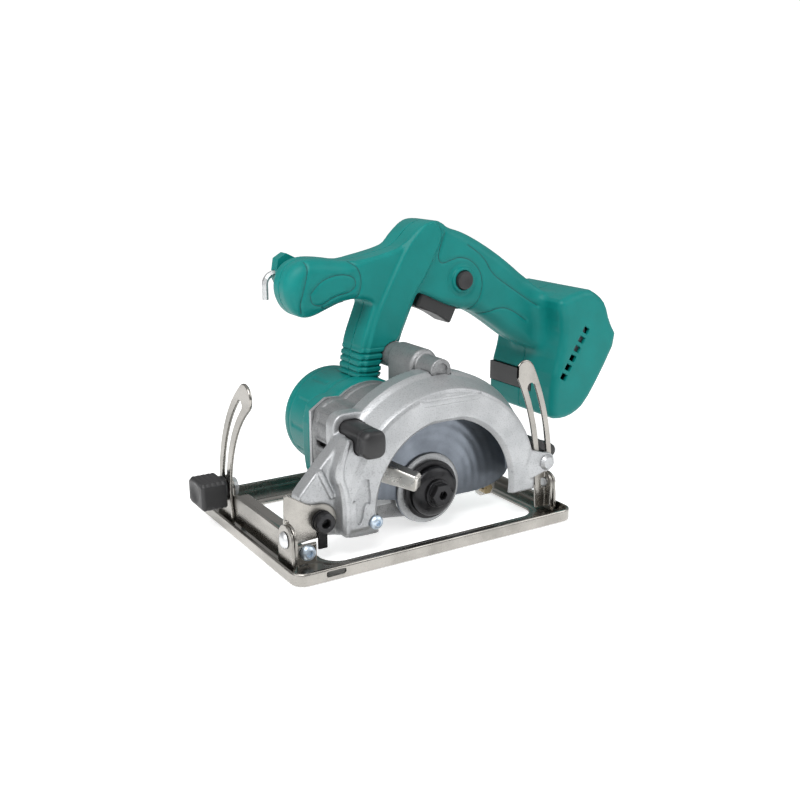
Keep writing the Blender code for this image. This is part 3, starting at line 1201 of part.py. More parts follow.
# ---------------------------------------------------------------- assembly
def build():
    base_plate()
    bevel_quadrant()
    hinge_pin("front_hinge_pin", FRONT_PLATE_FACE + GAP + PIN_HEAD, WEB[0] - 1.5)
    hinge_pin("rear_hinge_pin", REAR_EAR - GAP - PIN_HEAD, REAR_WEB[1] + 1.0)
    fence_clamp_screw()
    pan_screw("bevel_stop_screw", "Y", STOP_SCREW, STOP_TAB[1] + GAP, 1, 4.9, 3.6, STOP_SHANK, 7.0, ZINC)

    bevel_point = (0, HINGE[0], HINGE[1])
    bevel = carrier("bevel_axis", bevel_point)
    frame_pieces = [bevel_frame(), depth_guide(), bevel_bolt(), pivot_screw(), pivot_lock_washer()]
    carry(bevel, bevel_point, *frame_pieces)
    knob_point = (BEVEL_KNOB[0], BEVEL_BOLT[0], BEVEL_BOLT[1])
    carry(carrier("bevel_knob_axis", knob_point), knob_point, bevel_knob())

    pivot_point = (PIVOT[0], 50, PIVOT[1])
    saw = carrier("depth_axis", pivot_point)
    fixed = [upper_guard(), gear_case(), motor_bracket(), motor_housing(), motor_stator()]
    fixed.append(bearing("rotor_bearing_far", MOTOR_AXIS, 4.0 + GAP, 9.5, MOTOR_END + 5, MOTOR_END + 10))
    fixed.append(bearing("rotor_bearing_near", MOTOR_AXIS, 4.0 + GAP, 9.5, CASE_BACK - 4.5, CASE_BACK))
    fixed.append(bearing("spindle_bearing_far", SPINDLE, SHAFT_RADIUS + GAP, BEARING_RADIUS - 3,
                         CASE_BACK - 1.0, CASE_BACK + 4.5))
    fixed.append(bearing("spindle_bearing_near", SPINDLE, SHAFT_RADIUS + GAP, BEARING_RADIUS,
                         CASE_FACE - 8.0, HUB_FACE - 1.5 - GAP))
    fixed += [bearing_retainer(), lower_guard_spring(), stop_bracket(), stop_bracket_screw()]
    fixed.append(guard_stop_rubber())
    fixed.append(pan_screw("guard_stop_screw", "Y", GUARD_STOP, GUARD_FACE - 0.6 + GAP, 1, 4.4, 3.2, 2.2, 7.5,
                           ZINC))
    fixed += [handle_shell("handle_shell_near", True), handle_shell("handle_shell_far", False)]
    fixed += [handle_screw(label) for label in SCREW_SEATS]
    fixed += [switch_body(), trigger_spring(), dock_grille(), terminal_block(), control_board(), hex_key(),
              key_clip(), depth_bolt()]
    fixed.append(coil("lock_spring", LOCK_PIN, CASE_FACE + GAP, LOCK_REACH[0] + 5.5 - GAP, 3.2, 0.4, 3))
    carry(saw, pivot_point, *fixed)

    movers = {
        "rotor_axis": ((MOTOR_AXIS[0], 0, MOTOR_AXIS[1]), [rotor(), rotor_fan()]),
        "idler_axis": ((IDLER[0], 0, IDLER[1]), [idler_gear()]),
        "spindle_axis": ((SPINDLE[0], 0, SPINDLE[1]),
                         [spindle_gear(), spindle(), inner_flange(), outer_flange(), blade_bolt()]),
        "lower_guard_axis": ((SPINDLE[0], WALL_BACK, SPINDLE[1]), [lower_guard(), lower_guard_lever()]),
        "trigger_way": ((TRIGGER_FRONT[0], HANDLE_MIDDLE, TRIGGER_FRONT[1]), [trigger()]),
        "lock_off_way": ((LOCK_OFF[0], HANDLE_MIDDLE, LOCK_OFF[1]), [lock_off_button()]),
        "spindle_lock_way": ((LOCK_AXIS[0], LOCK_REACH[0], LOCK_AXIS[1]), [spindle_lock_button()]),
        "depth_knob_axis": ((DEPTH_BOLT[0], KNOB_FAR, DEPTH_BOLT[1]), [depth_knob()]),
    }
    for name, (point, items) in movers.items():
        carry(carrier(name, point), point, *items)

    whole = carrier("saw_origin", (BASE_SHIFT, 0, 0))
    for item in list(PARTS.objects) + list(CUTTERS.objects):
        if item.parent is None and item is not whole:
            item.parent = whole


build()
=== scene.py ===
"""Cordless circular saw without its blade and battery: the shapes and finishes of every sub-assembly.

Lengths are in millimetres, measured from the middle of the base plate's underside. +X is the cutting
direction, +Y the blade side and +Z up. MM and the frame's own offset turn them into the shared frame.

Most pieces are signed distance fields: a function of x, y and z that is negative inside the piece. The
field is sampled on a grid of whole arrays, its zero surface becomes quads, and each vertex is then moved
onto the surface along the field's slope. Turned pieces are a profile carried round an axis.
"""
import logging
import math
from dataclasses import dataclass, field
from enum import Enum
from typing import Callable, Optional, Sequence

import bpy
import numpy as np
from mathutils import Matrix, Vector


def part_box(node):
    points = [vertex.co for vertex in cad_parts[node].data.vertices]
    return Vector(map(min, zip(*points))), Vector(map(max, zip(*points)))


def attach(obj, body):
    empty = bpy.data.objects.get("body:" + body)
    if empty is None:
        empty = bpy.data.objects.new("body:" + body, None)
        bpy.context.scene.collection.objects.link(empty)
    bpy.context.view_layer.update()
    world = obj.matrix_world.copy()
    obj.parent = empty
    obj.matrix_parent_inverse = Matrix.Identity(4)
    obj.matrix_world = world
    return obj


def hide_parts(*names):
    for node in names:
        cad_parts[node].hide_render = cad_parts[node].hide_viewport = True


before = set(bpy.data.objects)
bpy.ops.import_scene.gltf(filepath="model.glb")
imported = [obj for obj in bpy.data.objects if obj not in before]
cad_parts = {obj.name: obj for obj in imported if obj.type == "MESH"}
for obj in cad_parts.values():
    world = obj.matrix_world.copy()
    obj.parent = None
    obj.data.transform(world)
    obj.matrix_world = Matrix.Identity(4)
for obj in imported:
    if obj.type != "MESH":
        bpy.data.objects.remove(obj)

LOG = logging.getLogger("saw")
MM = 0.001
Array = np.ndarray
Field = Callable[[Array, Array, Array], Array]
Outline = Sequence[tuple[float, float]]

SPINDLE = (-13.3, 26.5)
MOTOR = (6.0, 56.5)
PIVOT = (72.5, 26.5)
HINGE = (58.5, 21.5)
TUBE = (-18.5, 105.3)
LOCK_OFF = (-74.7, 151.5)
PLUG = (46.1, 73.9)
BEVEL_BOLT = (-31.377, 26.21)
DEPTH_BOLT = (-92.673, 36.892)
HANDLE_MIDDLE = -27.0
STOP_SCREW = (39.5, 21.5)

HINGE_BORE = 3.3
BOLT_BORE = 3.2
PIVOT_BORE = 4.3
RIVET_SEAT = 99.4
STRAP_PROUD = 1.9
STRAP_BEVEL = 4.4
BEAD_SIDES = 8
BEAD_RADIUS = 0.3
CELL_MARGINS = (1.7, 2.2)
SETTLE_PASSES = 2


class Facing(Enum):
    """The axis a turned piece is carried round."""

    X = 0
    Y = 1
    Z = 2


# ---------------------------------------------------------------- finishes
@dataclass(frozen=True)
class Finish:
    """A procedural finish: a cloudy colour, a fine grain, and a surface that varies in roughness.

    Args: colour and second are mixed by a soft noise of cloud_size; spread is how far the roughness varies;
    grain_size is in millimetres, and grain is its height; speckle is the share of dark flecks; streak
    stretches the noises; coat is a clear top layer; glow is light given off; specular is the strength of
    the plain reflection.
    """

    name: str
    colour: tuple[float, float, float]
    second: tuple[float, float, float]
    metallic: float = 0.0
    roughness: float = 0.4
    spread: float = 0.1
    grain_size: float = 0.5
    grain: float = 0.1
    cloud_size: float = 18.0
    speckle: float = 0.0
    streak: tuple[float, float, float] = (1.0, 1.0, 1.0)
    coat: float = 0.0
    glow: float = 0.0
    specular: float = 0.5

    def material(self) -> bpy.types.Material:
        """Returns the finish's material, made once."""
        found = bpy.data.materials.get(self.name)
        return found if found else self._build()

    def _build(self) -> bpy.types.Material:
        """Wires the noises, ramps and bump of the finish.

        Returns:
            The new material.
        """
        material = bpy.data.materials.new(self.name)
        material.use_nodes = True
        nodes, links = material.node_tree.nodes, material.node_tree.links
        shader = nodes["Principled BSDF"]
        shader.inputs["Metallic"].default_value = self.metallic
        shader.inputs["Specular IOR Level"].default_value = self.specular
        shader.inputs["Coat Weight"].default_value = self.coat
        shader.inputs["Coat Roughness"].default_value = 0.2
        shader.inputs["Emission Color"].default_value = (1.0, 1.0, 1.0, 1.0)
        shader.inputs["Emission Strength"].default_value = self.glow
        place = nodes.new("ShaderNodeTexCoord")
        stretch = nodes.new("ShaderNodeMapping")
        stretch.inputs["Scale"].default_value = self.streak
        links.new(place.outputs["Object"], stretch.inputs["Vector"])

        def noise(size: float, detail: float) -> bpy.types.Node:
            """Returns a noise whose features are about size millimetres across.

            Args:
                size: The size of its features, in millimetres.
                detail: How many layers of finer noise.

            Returns:
                The noise node.
            """
            node = nodes.new("ShaderNodeTexNoise")
            node.inputs["Scale"].default_value = 1000.0 / size
            node.inputs["Detail"].default_value = detail
            links.new(stretch.outputs["Vector"], node.inputs["Vector"])
            return node

        def spread_of(source: bpy.types.Node, low: float, high: float, to_low: float,
                      to_high: float) -> bpy.types.Node:
            """Returns a map of a noise from one range onto another.

            Args:
                source: The node to map.
                low: The low end.
                high: The high end.
                to_low: What the low end becomes.
                to_high: What the high end becomes.

            Returns:
                The map node.
            """
            node = nodes.new("ShaderNodeMapRange")
            for label, value in (("From Min", low), ("From Max", high), ("To Min", to_low), ("To Max", to_high)):
                node.inputs[label].default_value = value
            links.new(source.outputs[0], node.inputs["Value"])
            return node

        clouds = noise(self.cloud_size, 4.0)
        fine = noise(self.grain_size, 3.0)
        mix = nodes.new("ShaderNodeMix")
        mix.data_type = "RGBA"
        mix.inputs["A"].default_value = (*self.colour, 1.0)
        mix.inputs["B"].default_value = (*self.second, 1.0)
        links.new(spread_of(clouds, 0.35, 0.68, 0.0, 1.0).outputs[0], mix.inputs["Factor"])
        colour = mix.outputs["Result"]
        if self.speckle > 0.0:
            flecks = nodes.new("ShaderNodeMix")
            flecks.data_type = "RGBA"
            flecks.inputs["B"].default_value = (*[value * 0.35 for value in self.colour], 1.0)
            links.new(spread_of(fine, 0.52, 0.72, 0.0, self.speckle).outputs[0], flecks.inputs["Factor"])
            links.new(colour, flecks.inputs["A"])
            colour = flecks.outputs["Result"]
        links.new(colour, shader.inputs["Base Color"])
        rough = spread_of(clouds, 0.3, 0.7, self.roughness - self.spread, self.roughness + self.spread)
        links.new(rough.outputs[0], shader.inputs["Roughness"])
        bump = nodes.new("ShaderNodeBump")
        bump.inputs["Strength"].default_value = self.grain
        bump.inputs["Distance"].default_value = self.grain_size * MM * 0.5
        links.new(fine.outputs[0], bump.inputs["Height"])
        links.new(bump.outputs["Normal"], shader.inputs["Normal"])
        return material


TEAL = Finish("teal_moulding", (0.002, 0.165, 0.152), (0.003, 0.19, 0.176), 0.0, 0.42, 0.05, 0.55, 0.3,
              specular=0.2)
# Painted shade: dark teal for the beads laid in the shell seams, standing in for shade in the grooves.
TEAL_SEAM_SHADE = Finish("teal_shadow_line", (0.001, 0.075, 0.075), (0.001, 0.06, 0.062), 0.0, 0.6, 0.1, 0.5, 0.1)
CAST = Finish("cast_aluminium", (0.46, 0.47, 0.48), (0.39, 0.40, 0.41), 0.75, 0.44, 0.08, 0.9, 0.35, 14.0, 0.45)
DARK_CAST = Finish("dark_cast_case", (0.30, 0.305, 0.31), (0.24, 0.245, 0.25), 0.7, 0.5, 0.08, 0.9, 0.5, 10.0,
                   0.6)
NICKEL = Finish("nickel_plate", (0.37, 0.355, 0.33), (0.27, 0.26, 0.24), 1.0, 0.26, 0.09, 1.6, 0.06, 22.0, 0.12,
                (1.0, 0.35, 1.0))
SHEET = Finish("guard_sheet", (0.21, 0.235, 0.27), (0.16, 0.18, 0.21), 0.9, 0.36, 0.08, 1.0, 0.08, 16.0, 0.1)
BRIGHT = Finish("bright_casting", (0.62, 0.61, 0.58), (0.5, 0.49, 0.46), 0.95, 0.3, 0.08, 1.0, 0.15, 9.0, 0.15)
STEEL = Finish("steel", (0.42, 0.41, 0.39), (0.33, 0.32, 0.31), 1.0, 0.3, 0.1, 0.7, 0.1, 6.0, 0.2)
BRASS = Finish("tinted_steel", (0.48, 0.38, 0.22), (0.36, 0.29, 0.18), 1.0, 0.32, 0.1, 0.7, 0.1, 4.0, 0.2)
ZINC = Finish("blue_zinc", (0.22, 0.40, 0.55), (0.38, 0.50, 0.60), 1.0, 0.28, 0.08, 0.8, 0.08, 3.0, 0.15)
BLACK_STEEL = Finish("black_oxide", (0.018, 0.018, 0.02), (0.035, 0.035, 0.037), 0.6, 0.34, 0.1, 0.6, 0.15, 6.0,
                     0.1)
BLACK = Finish("black_moulding", (0.011, 0.011, 0.012), (0.018, 0.018, 0.019), 0.0, 0.46, 0.08, 0.5, 0.3)
RUBBER = Finish("black_rubber", (0.008, 0.008, 0.008), (0.014, 0.014, 0.014), 0.0, 0.75, 0.08, 0.6, 0.4)
WINDING = Finish("copper_winding", (0.45, 0.17, 0.06), (0.30, 0.10, 0.04), 0.9, 0.35, 0.1, 0.6, 0.6, 5.0, 0.3,
                 (1.0, 1.0, 6.0))
POTTING = Finish("board_potting", (0.012, 0.02, 0.018), (0.02, 0.03, 0.026), 0.0, 0.3, 0.1, 1.2, 0.2)
FLOOR = Finish("studio_floor", (0.9, 0.9, 0.9), (0.88, 0.88, 0.88), 0.0, 0.6, 0.05, 40.0, 0.02, 300.0,
               glow=0.55)


# ---------------------------------------------------------------- fields
def path_distance(u: Array, v: Array, points: Outline, closed: bool = False) -> Array:
    """Returns the distance in a plane from (u, v) to a chain of straight edges.

    Args:
        u: First coordinates in the plane.
        v: Second coordinates in the plane.
        points: The chain of points, in order.
        closed: Whether the last point joins the first.

    Returns:
        The distance, never negative.
    """
    chain = np.asarray(points, float)
    ends = np.roll(chain, -1, 0) if closed else chain[1:]
    best = np.full(np.broadcast(u, v).shape, np.inf)
    for (ax, ay), (bx, by) in zip(chain, ends):
        ex, ey = bx - ax, by - ay
        share = np.clip(((u - ax) * ex + (v - ay) * ey) / max(ex * ex + ey * ey, 1e-9), 0, 1)
        best = np.minimum(best, (u - ax - ex * share) ** 2 + (v - ay - ey * share) ** 2)
    return np.sqrt(best)


def outline_distance(u: Array, v: Array, points: Outline) -> Array:
    """Returns the signed distance in a plane to a closed outline, negative inside.

    Args:
        u: First coordinates in the plane.
        v: Second coordinates in the plane.
        points: The closed outline, in order.

    Returns:
        The distance, negative inside.
    """
    chain = np.asarray(points, float)
    inside = np.zeros(np.broadcast(u, v).shape, bool)
    for (ax, ay), (bx, by) in zip(chain, np.roll(chain, -1, 0)):
        if ay != by:
            inside ^= ((ay > v) != (by > v)) & (u < ax + (v - ay) * (bx - ax) / (by - ay))
    return np.where(inside, -1.0, 1.0) * path_distance(u, v, points, True)


def rounded(first: Array, second: Array, radius: Array | float) -> Array:
    """Returns the overlap of two fields, with the edge between them rounded to a radius."""
    a, b = first + radius, second + radius
    return np.minimum(np.maximum(a, b), 0) + np.hypot(np.maximum(a, 0), np.maximum(b, 0)) - radius


def joined(first: Array, second: Array, radius: float) -> Array:
    """Returns the union of two fields, with a fillet of about the radius where they meet.

    Args:
        first: The first field.
        second: The second field.
        radius: The fillet's size.

    Returns:
        The joined field.
    """
    if radius <= 0:
        return np.minimum(first, second)
    share = np.clip(0.5 + 0.5 * (second - first) / radius, 0, 1)
    return second + (first - second) * share - radius * share * (1 - share)


def carved(first: Array, second: Array, radius: float = 0.0) -> Array:
    """Returns the first field with the second taken out of it, with a softened edge."""
    return -joined(-first, second, radius)


def slab(value: Array, low: float, high: float) -> Array:
    """Returns the signed distance to the space between two parallel planes."""
    return np.abs(value - (low + high) / 2) - (high - low) / 2


def plate(first: Array, across: Array, outline: Outline, low: float, high: float, along: Array,
          radius: float = 0.5) -> Array:
    """Returns a flat plate: an outline in two coordinates, between two positions on the third."""
    return rounded(outline_distance(first, across, outline), slab(along, low, high), radius)


def disc(x: Array, z: Array, centre: tuple[float, float], radius: float) -> Array:
    """Returns the signed distance in a plane to a circle."""
    return np.hypot(x - centre[0], z - centre[1]) - radius


def box2(x: Array, z: Array, low: tuple[float, float], high: tuple[float, float], radius: float = 0.0) -> Array:
    """Returns the signed distance in a plane to a rectangle with round corners."""
    return rounded(slab(x, low[0], high[0]), slab(z, low[1], high[1]), radius)


def turned_axes(x: Array, z: Array, origin: tuple[float, float], degrees: float) -> tuple[Array, Array]:
    """Returns coordinates along and across a direction that starts at an origin."""
    c, s = math.cos(math.radians(degrees)), math.sin(math.radians(degrees))
    return (x - origin[0]) * c + (z - origin[1]) * s, (z - origin[1]) * c - (x - origin[0]) * s


def step(value: Array, low: float, high: float) -> Array:
    """Returns a smooth rise from 0 at low to 1 at high."""
    share = np.clip((value - low) / (high - low), 0, 1)
    return share * share * (3 - 2 * share)


def arc(centre: tuple[float, float], radius: float, start: float, end: float, steps: int) -> list:
    """Returns points of an arc, with angles in degrees."""
    angles = np.radians(np.linspace(start, end, steps + 1))
    return [(centre[0] + radius * math.cos(a), centre[1] + radius * math.sin(a)) for a in angles]


def arc_distance(u: Array, v: Array, centre: tuple[float, float], radius: float, low: float, high: float) -> Array:
    """Returns the distance in a plane to an arc between two angles in degrees.

    Args:
        u: First coordinates in the plane.
        v: Second coordinates in the plane.
        centre: The centre in the plane.
        radius: The radius, in millimetres.
        low: Its first angle.
        high: Its last angle.

    Returns:
        The distance, never negative.
    """
    across, up = u - centre[0], v - centre[1]
    angle = np.radians(np.clip(np.degrees(np.arctan2(up, across)) % 360, low, high))
    return np.hypot(across - radius * np.cos(angle), up - radius * np.sin(angle))


def softened(points: Outline, passes: int = 2, closed: bool = True) -> Array:
    """Returns an outline with its corners cut a few times, which rounds them.

    Args:
        points: The chain of points, in order.
        passes: How many times the corners are cut.
        closed: Whether the last point joins the first.

    Returns:
        The new points, one per row.
    """
    chain = np.asarray(points, float)
    for _ in range(passes):
        ends = np.roll(chain, -1, 0) if closed else chain[1:]
        starts = chain if closed else chain[:-1]
        cut = np.stack((starts * 0.75 + ends * 0.25, starts * 0.25 + ends * 0.75), 1).reshape(-1, 2)
        chain = cut if closed else np.vstack((chain[:1], cut, chain[-1:]))
    return chain


def polar(centre: tuple[float, float], radius: float, degrees: float) -> tuple[float, float]:
    """Returns one point at a radius and an angle."""
    return arc(centre, radius, degrees, degrees, 1)[0]


# ---------------------------------------------------------------- meshes
def skin(shape: Field, low: Sequence[float], high: Sequence[float], cell: float) -> tuple[Array, Array]:
    """Returns vertices and quads of a field's zero surface inside a box.

    Each grid cell that the surface crosses gets one vertex, at the mean of the crossings of its edges.
    Each grid edge that the surface crosses gets one quad between the four cells round it.

    Args:
        shape: The field.
        low: The box's low corner.
        high: The box's high corner.
        cell: The grid's spacing.

    Returns:
        Vertices and quads.
    """
    before, after = CELL_MARGINS
    axes = [np.arange(a - before * cell, b + after * cell, cell) for a, b in zip(low, high)]
    grid = np.meshgrid(*axes, indexing="ij", sparse=True)
    values = np.broadcast_to(shape(*grid), [len(a) for a in axes]).astype(np.float32)
    inside = values < 0
    cells = [n - 1 for n in values.shape]
    number = np.full(cells, -1, np.int64)
    total = np.zeros(cells, np.int8)
    for i in (0, 1):
        for j in (0, 1):
            for k in (0, 1):
                total += inside[i:cells[0] + i, j:cells[1] + j, k:cells[2] + k]
    active = (total > 0) & (total < 8)
    count = int(active.sum())
    number[active] = np.arange(count)
    sums, hits, quads = np.zeros((count, 3)), np.zeros(count), []
    for axis in range(3):
        head = [slice(None)] * 3
        tail = [slice(None)] * 3
        head[axis], tail[axis] = slice(0, -1), slice(1, None)
        change = inside[tuple(head)] != inside[tuple(tail)]
        place = np.argwhere(change)
        place = place[np.all((place > 0) & (place < np.array(values.shape) - 1), 1)]
        beyond = place.copy()
        beyond[:, axis] += 1
        here, there = values[tuple(place.T)], values[tuple(beyond.T)]
        point = place.astype(float)
        point[:, axis] += here / (here - there)
        first, second = (axis + 1) % 3, (axis + 2) % 3
        corners = []
        for a, b in ((0, 0), (1, 0), (1, 1), (0, 1)):
            cell_at = place.copy()
            cell_at[:, first] -= a
            cell_at[:, second] -= b
            corner = number[tuple(cell_at.T)]
            corners.append(corner)
            hits += np.bincount(corner, minlength=count)
            for k in range(3):
                sums[:, k] += np.bincount(corner, point[:, k], minlength=count)
        quad = np.stack(corners, 1)
        inward = here >= 0
        quad[inward] = quad[inward][:, ::-1]
        quads.append(quad)
    points = sums / hits[:, None] * cell + np.array([a[0] for a in axes])
    for _ in range(SETTLE_PASSES):
        points = settle(shape, points, cell)
    return points, np.vstack(quads)


def settle(shape: Field, points: Array, cell: float) -> Array:
    """Returns points moved along a field's slope onto its zero surface, by at most half a cell.

    Args:
        shape: The field.
        points: Points near the surface.
        cell: The grid's spacing.

    Returns:
        The moved points.
    """
    step_size = cell * 0.2
    x, y, z = points.T
    value = shape(x, y, z)
    slope = np.stack((shape(x + step_size, y, z) - shape(x - step_size, y, z),
                      shape(x, y + step_size, z) - shape(x, y - step_size, z),
                      shape(x, y, z + step_size) - shape(x, y, z - step_size)), 1) / (2 * step_size)
    steep = np.maximum((slope ** 2).sum(1), 0.25)
    move = slope * (value / steep)[:, None]
    reach = np.linalg.norm(move, axis=1, keepdims=True)
    return points - move * np.minimum(1.0, 0.45 * cell / np.maximum(reach, 1e-9))


def ring_quads(rings: int, steps: int) -> Array:
    """Returns the quads between rings that follow each other, each of the same number of points.

    Args:
        rings: The number of rings.
        steps: The number of places round.

    Returns:
        Quads as rows of four vertex numbers.
    """
    row, col = np.arange(rings - 1)[:, None] * steps, np.arange(steps)[None, :]
    after = (col + 1) % steps
    corners = (row + col, row + steps + col, row + steps + after, row + after)
    return np.stack([corner.ravel() for corner in corners], 1)


def carried(profile: Outline, centre: tuple[float, float], facing: Facing, steps: int = 48,
            sides: int = 0) -> tuple[Array, Array]:
    """Returns a profile of (radius, height) points carried round an axis, with its poles closed.

    Args:
        profile: Points of (radius, height), from the high end to the low end.
        centre: The centre in the plane.
        facing: The axis it is carried round.
        steps: The number of places round.
        sides: The number of sides of each ring, or 0 for a round one.

    Returns:
        Vertices and quads.
    """
    rings = np.asarray(profile, float)
    turn = np.linspace(0, 2 * np.pi, steps, endpoint=False)
    reach = np.ones(steps)
    if sides:
        within = (turn + np.pi / sides) % (2 * np.pi / sides) - np.pi / sides
        reach = math.cos(math.pi / sides) / np.cos(within)
    u = rings[:, 0:1] * np.cos(turn) * reach
    v = rings[:, 0:1] * np.sin(turn) * reach
    height = np.broadcast_to(rings[:, 1:2], u.shape)
    layout = {Facing.X: (height, u + centre[0], v + centre[1]), Facing.Y: (v + centre[0], height, u + centre[1]),
              Facing.Z: (u + centre[0], v + centre[1], height)}[facing]
    points = np.stack([part.ravel() for part in layout], 1)
    return points, ring_quads(len(rings), steps)


@dataclass
class Piece:
    """One finished piece: its name, body, replaced nodes, material slot and finish."""

    name: str
    body: str
    nodes: tuple[str, ...]
    slot: Optional[str]
    finish: Finish

    def make(self, points: Array, faces: Array, sharp: float = 40.0) -> bpy.types.Object:
        """Makes the mesh in the shared frame and hands it to its body.

        Args:
            points: Vertices, in millimetres.
            faces: Quads as rows of four vertex numbers.
            sharp: The angle in degrees above which an edge stays hard.

        Returns:
            The new object.
        """
        low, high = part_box("base_plate")
        shift = np.array(((low.x + high.x) / 2, 0.0, 0.0))
        mesh = bpy.data.meshes.new(self.name)
        mesh.vertices.add(len(points))
        mesh.vertices.foreach_set("co", (points * MM + shift).astype(np.float32).ravel())
        mesh.loops.add(faces.size)
        mesh.loops.foreach_set("vertex_index", faces.astype(np.int32).ravel())
        mesh.polygons.add(len(faces))
        mesh.polygons.foreach_set("loop_start", np.arange(0, faces.size, faces.shape[1], dtype=np.int32))
        mesh.update(calc_edges=True)
        mesh.validate()
        mesh.shade_smooth()
        mesh.set_sharp_from_angle(angle=math.radians(sharp))
        item = bpy.data.objects.new(self.name, mesh)
        bpy.context.scene.collection.objects.link(item)
        mesh.materials.append(self.finish.material())
        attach(item, self.body)
        if self.nodes:
            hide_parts(*self.nodes)
        LOG.info("%s: %d vertices, %d faces", self.name, len(points), len(faces))
        return item

    def grow(self, shape: Field, low: Sequence[float], high: Sequence[float], cell: float,
             sharp: float = 40.0) -> bpy.types.Object:
        """Makes the piece from a field."""
        return self.make(*skin(shape, low, high, cell), sharp)

    def turn(self, profile: Outline, centre: tuple[float, float], facing: Facing = Facing.Y,
             sides: int = 0, steps: int = 48) -> bpy.types.Object:
        """Makes the piece from a profile carried round an axis."""
        points, quads = carried(profile, centre, facing, steps, sides)
        return self.make(points, closed_ends(profile, quads, steps), 35.0)


def closed_ends(profile: Outline, quads: Array, steps: int) -> Array:
    """Returns the quads of a carried profile, with a last row of quads when the profile is a ring.

    Args:
        profile: Points of (radius, height), from the high end to the low end.
        quads: The profile's quads.
        steps: The number of places round.

    Returns:
        The quads, with the last row when it is needed.
    """
    if profile[0][0] < 0.01 or profile[-1][0] < 0.01:
        return quads
    col = np.arange(steps)
    after = (col + 1) % steps
    base = (len(profile) - 1) * steps
    return np.vstack((quads, np.stack((base + col, col, after, base + after), 1)))


def retouch(names: Sequence[str], finish: Finish) -> None:
    """Gives carried-over nodes a finish.

    Args:
        names: The nodes' names.
        finish: The finish to give them.
    """
    for name in names:
        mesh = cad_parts[name].data
        mesh.materials.clear()
        mesh.materials.append(finish.material())


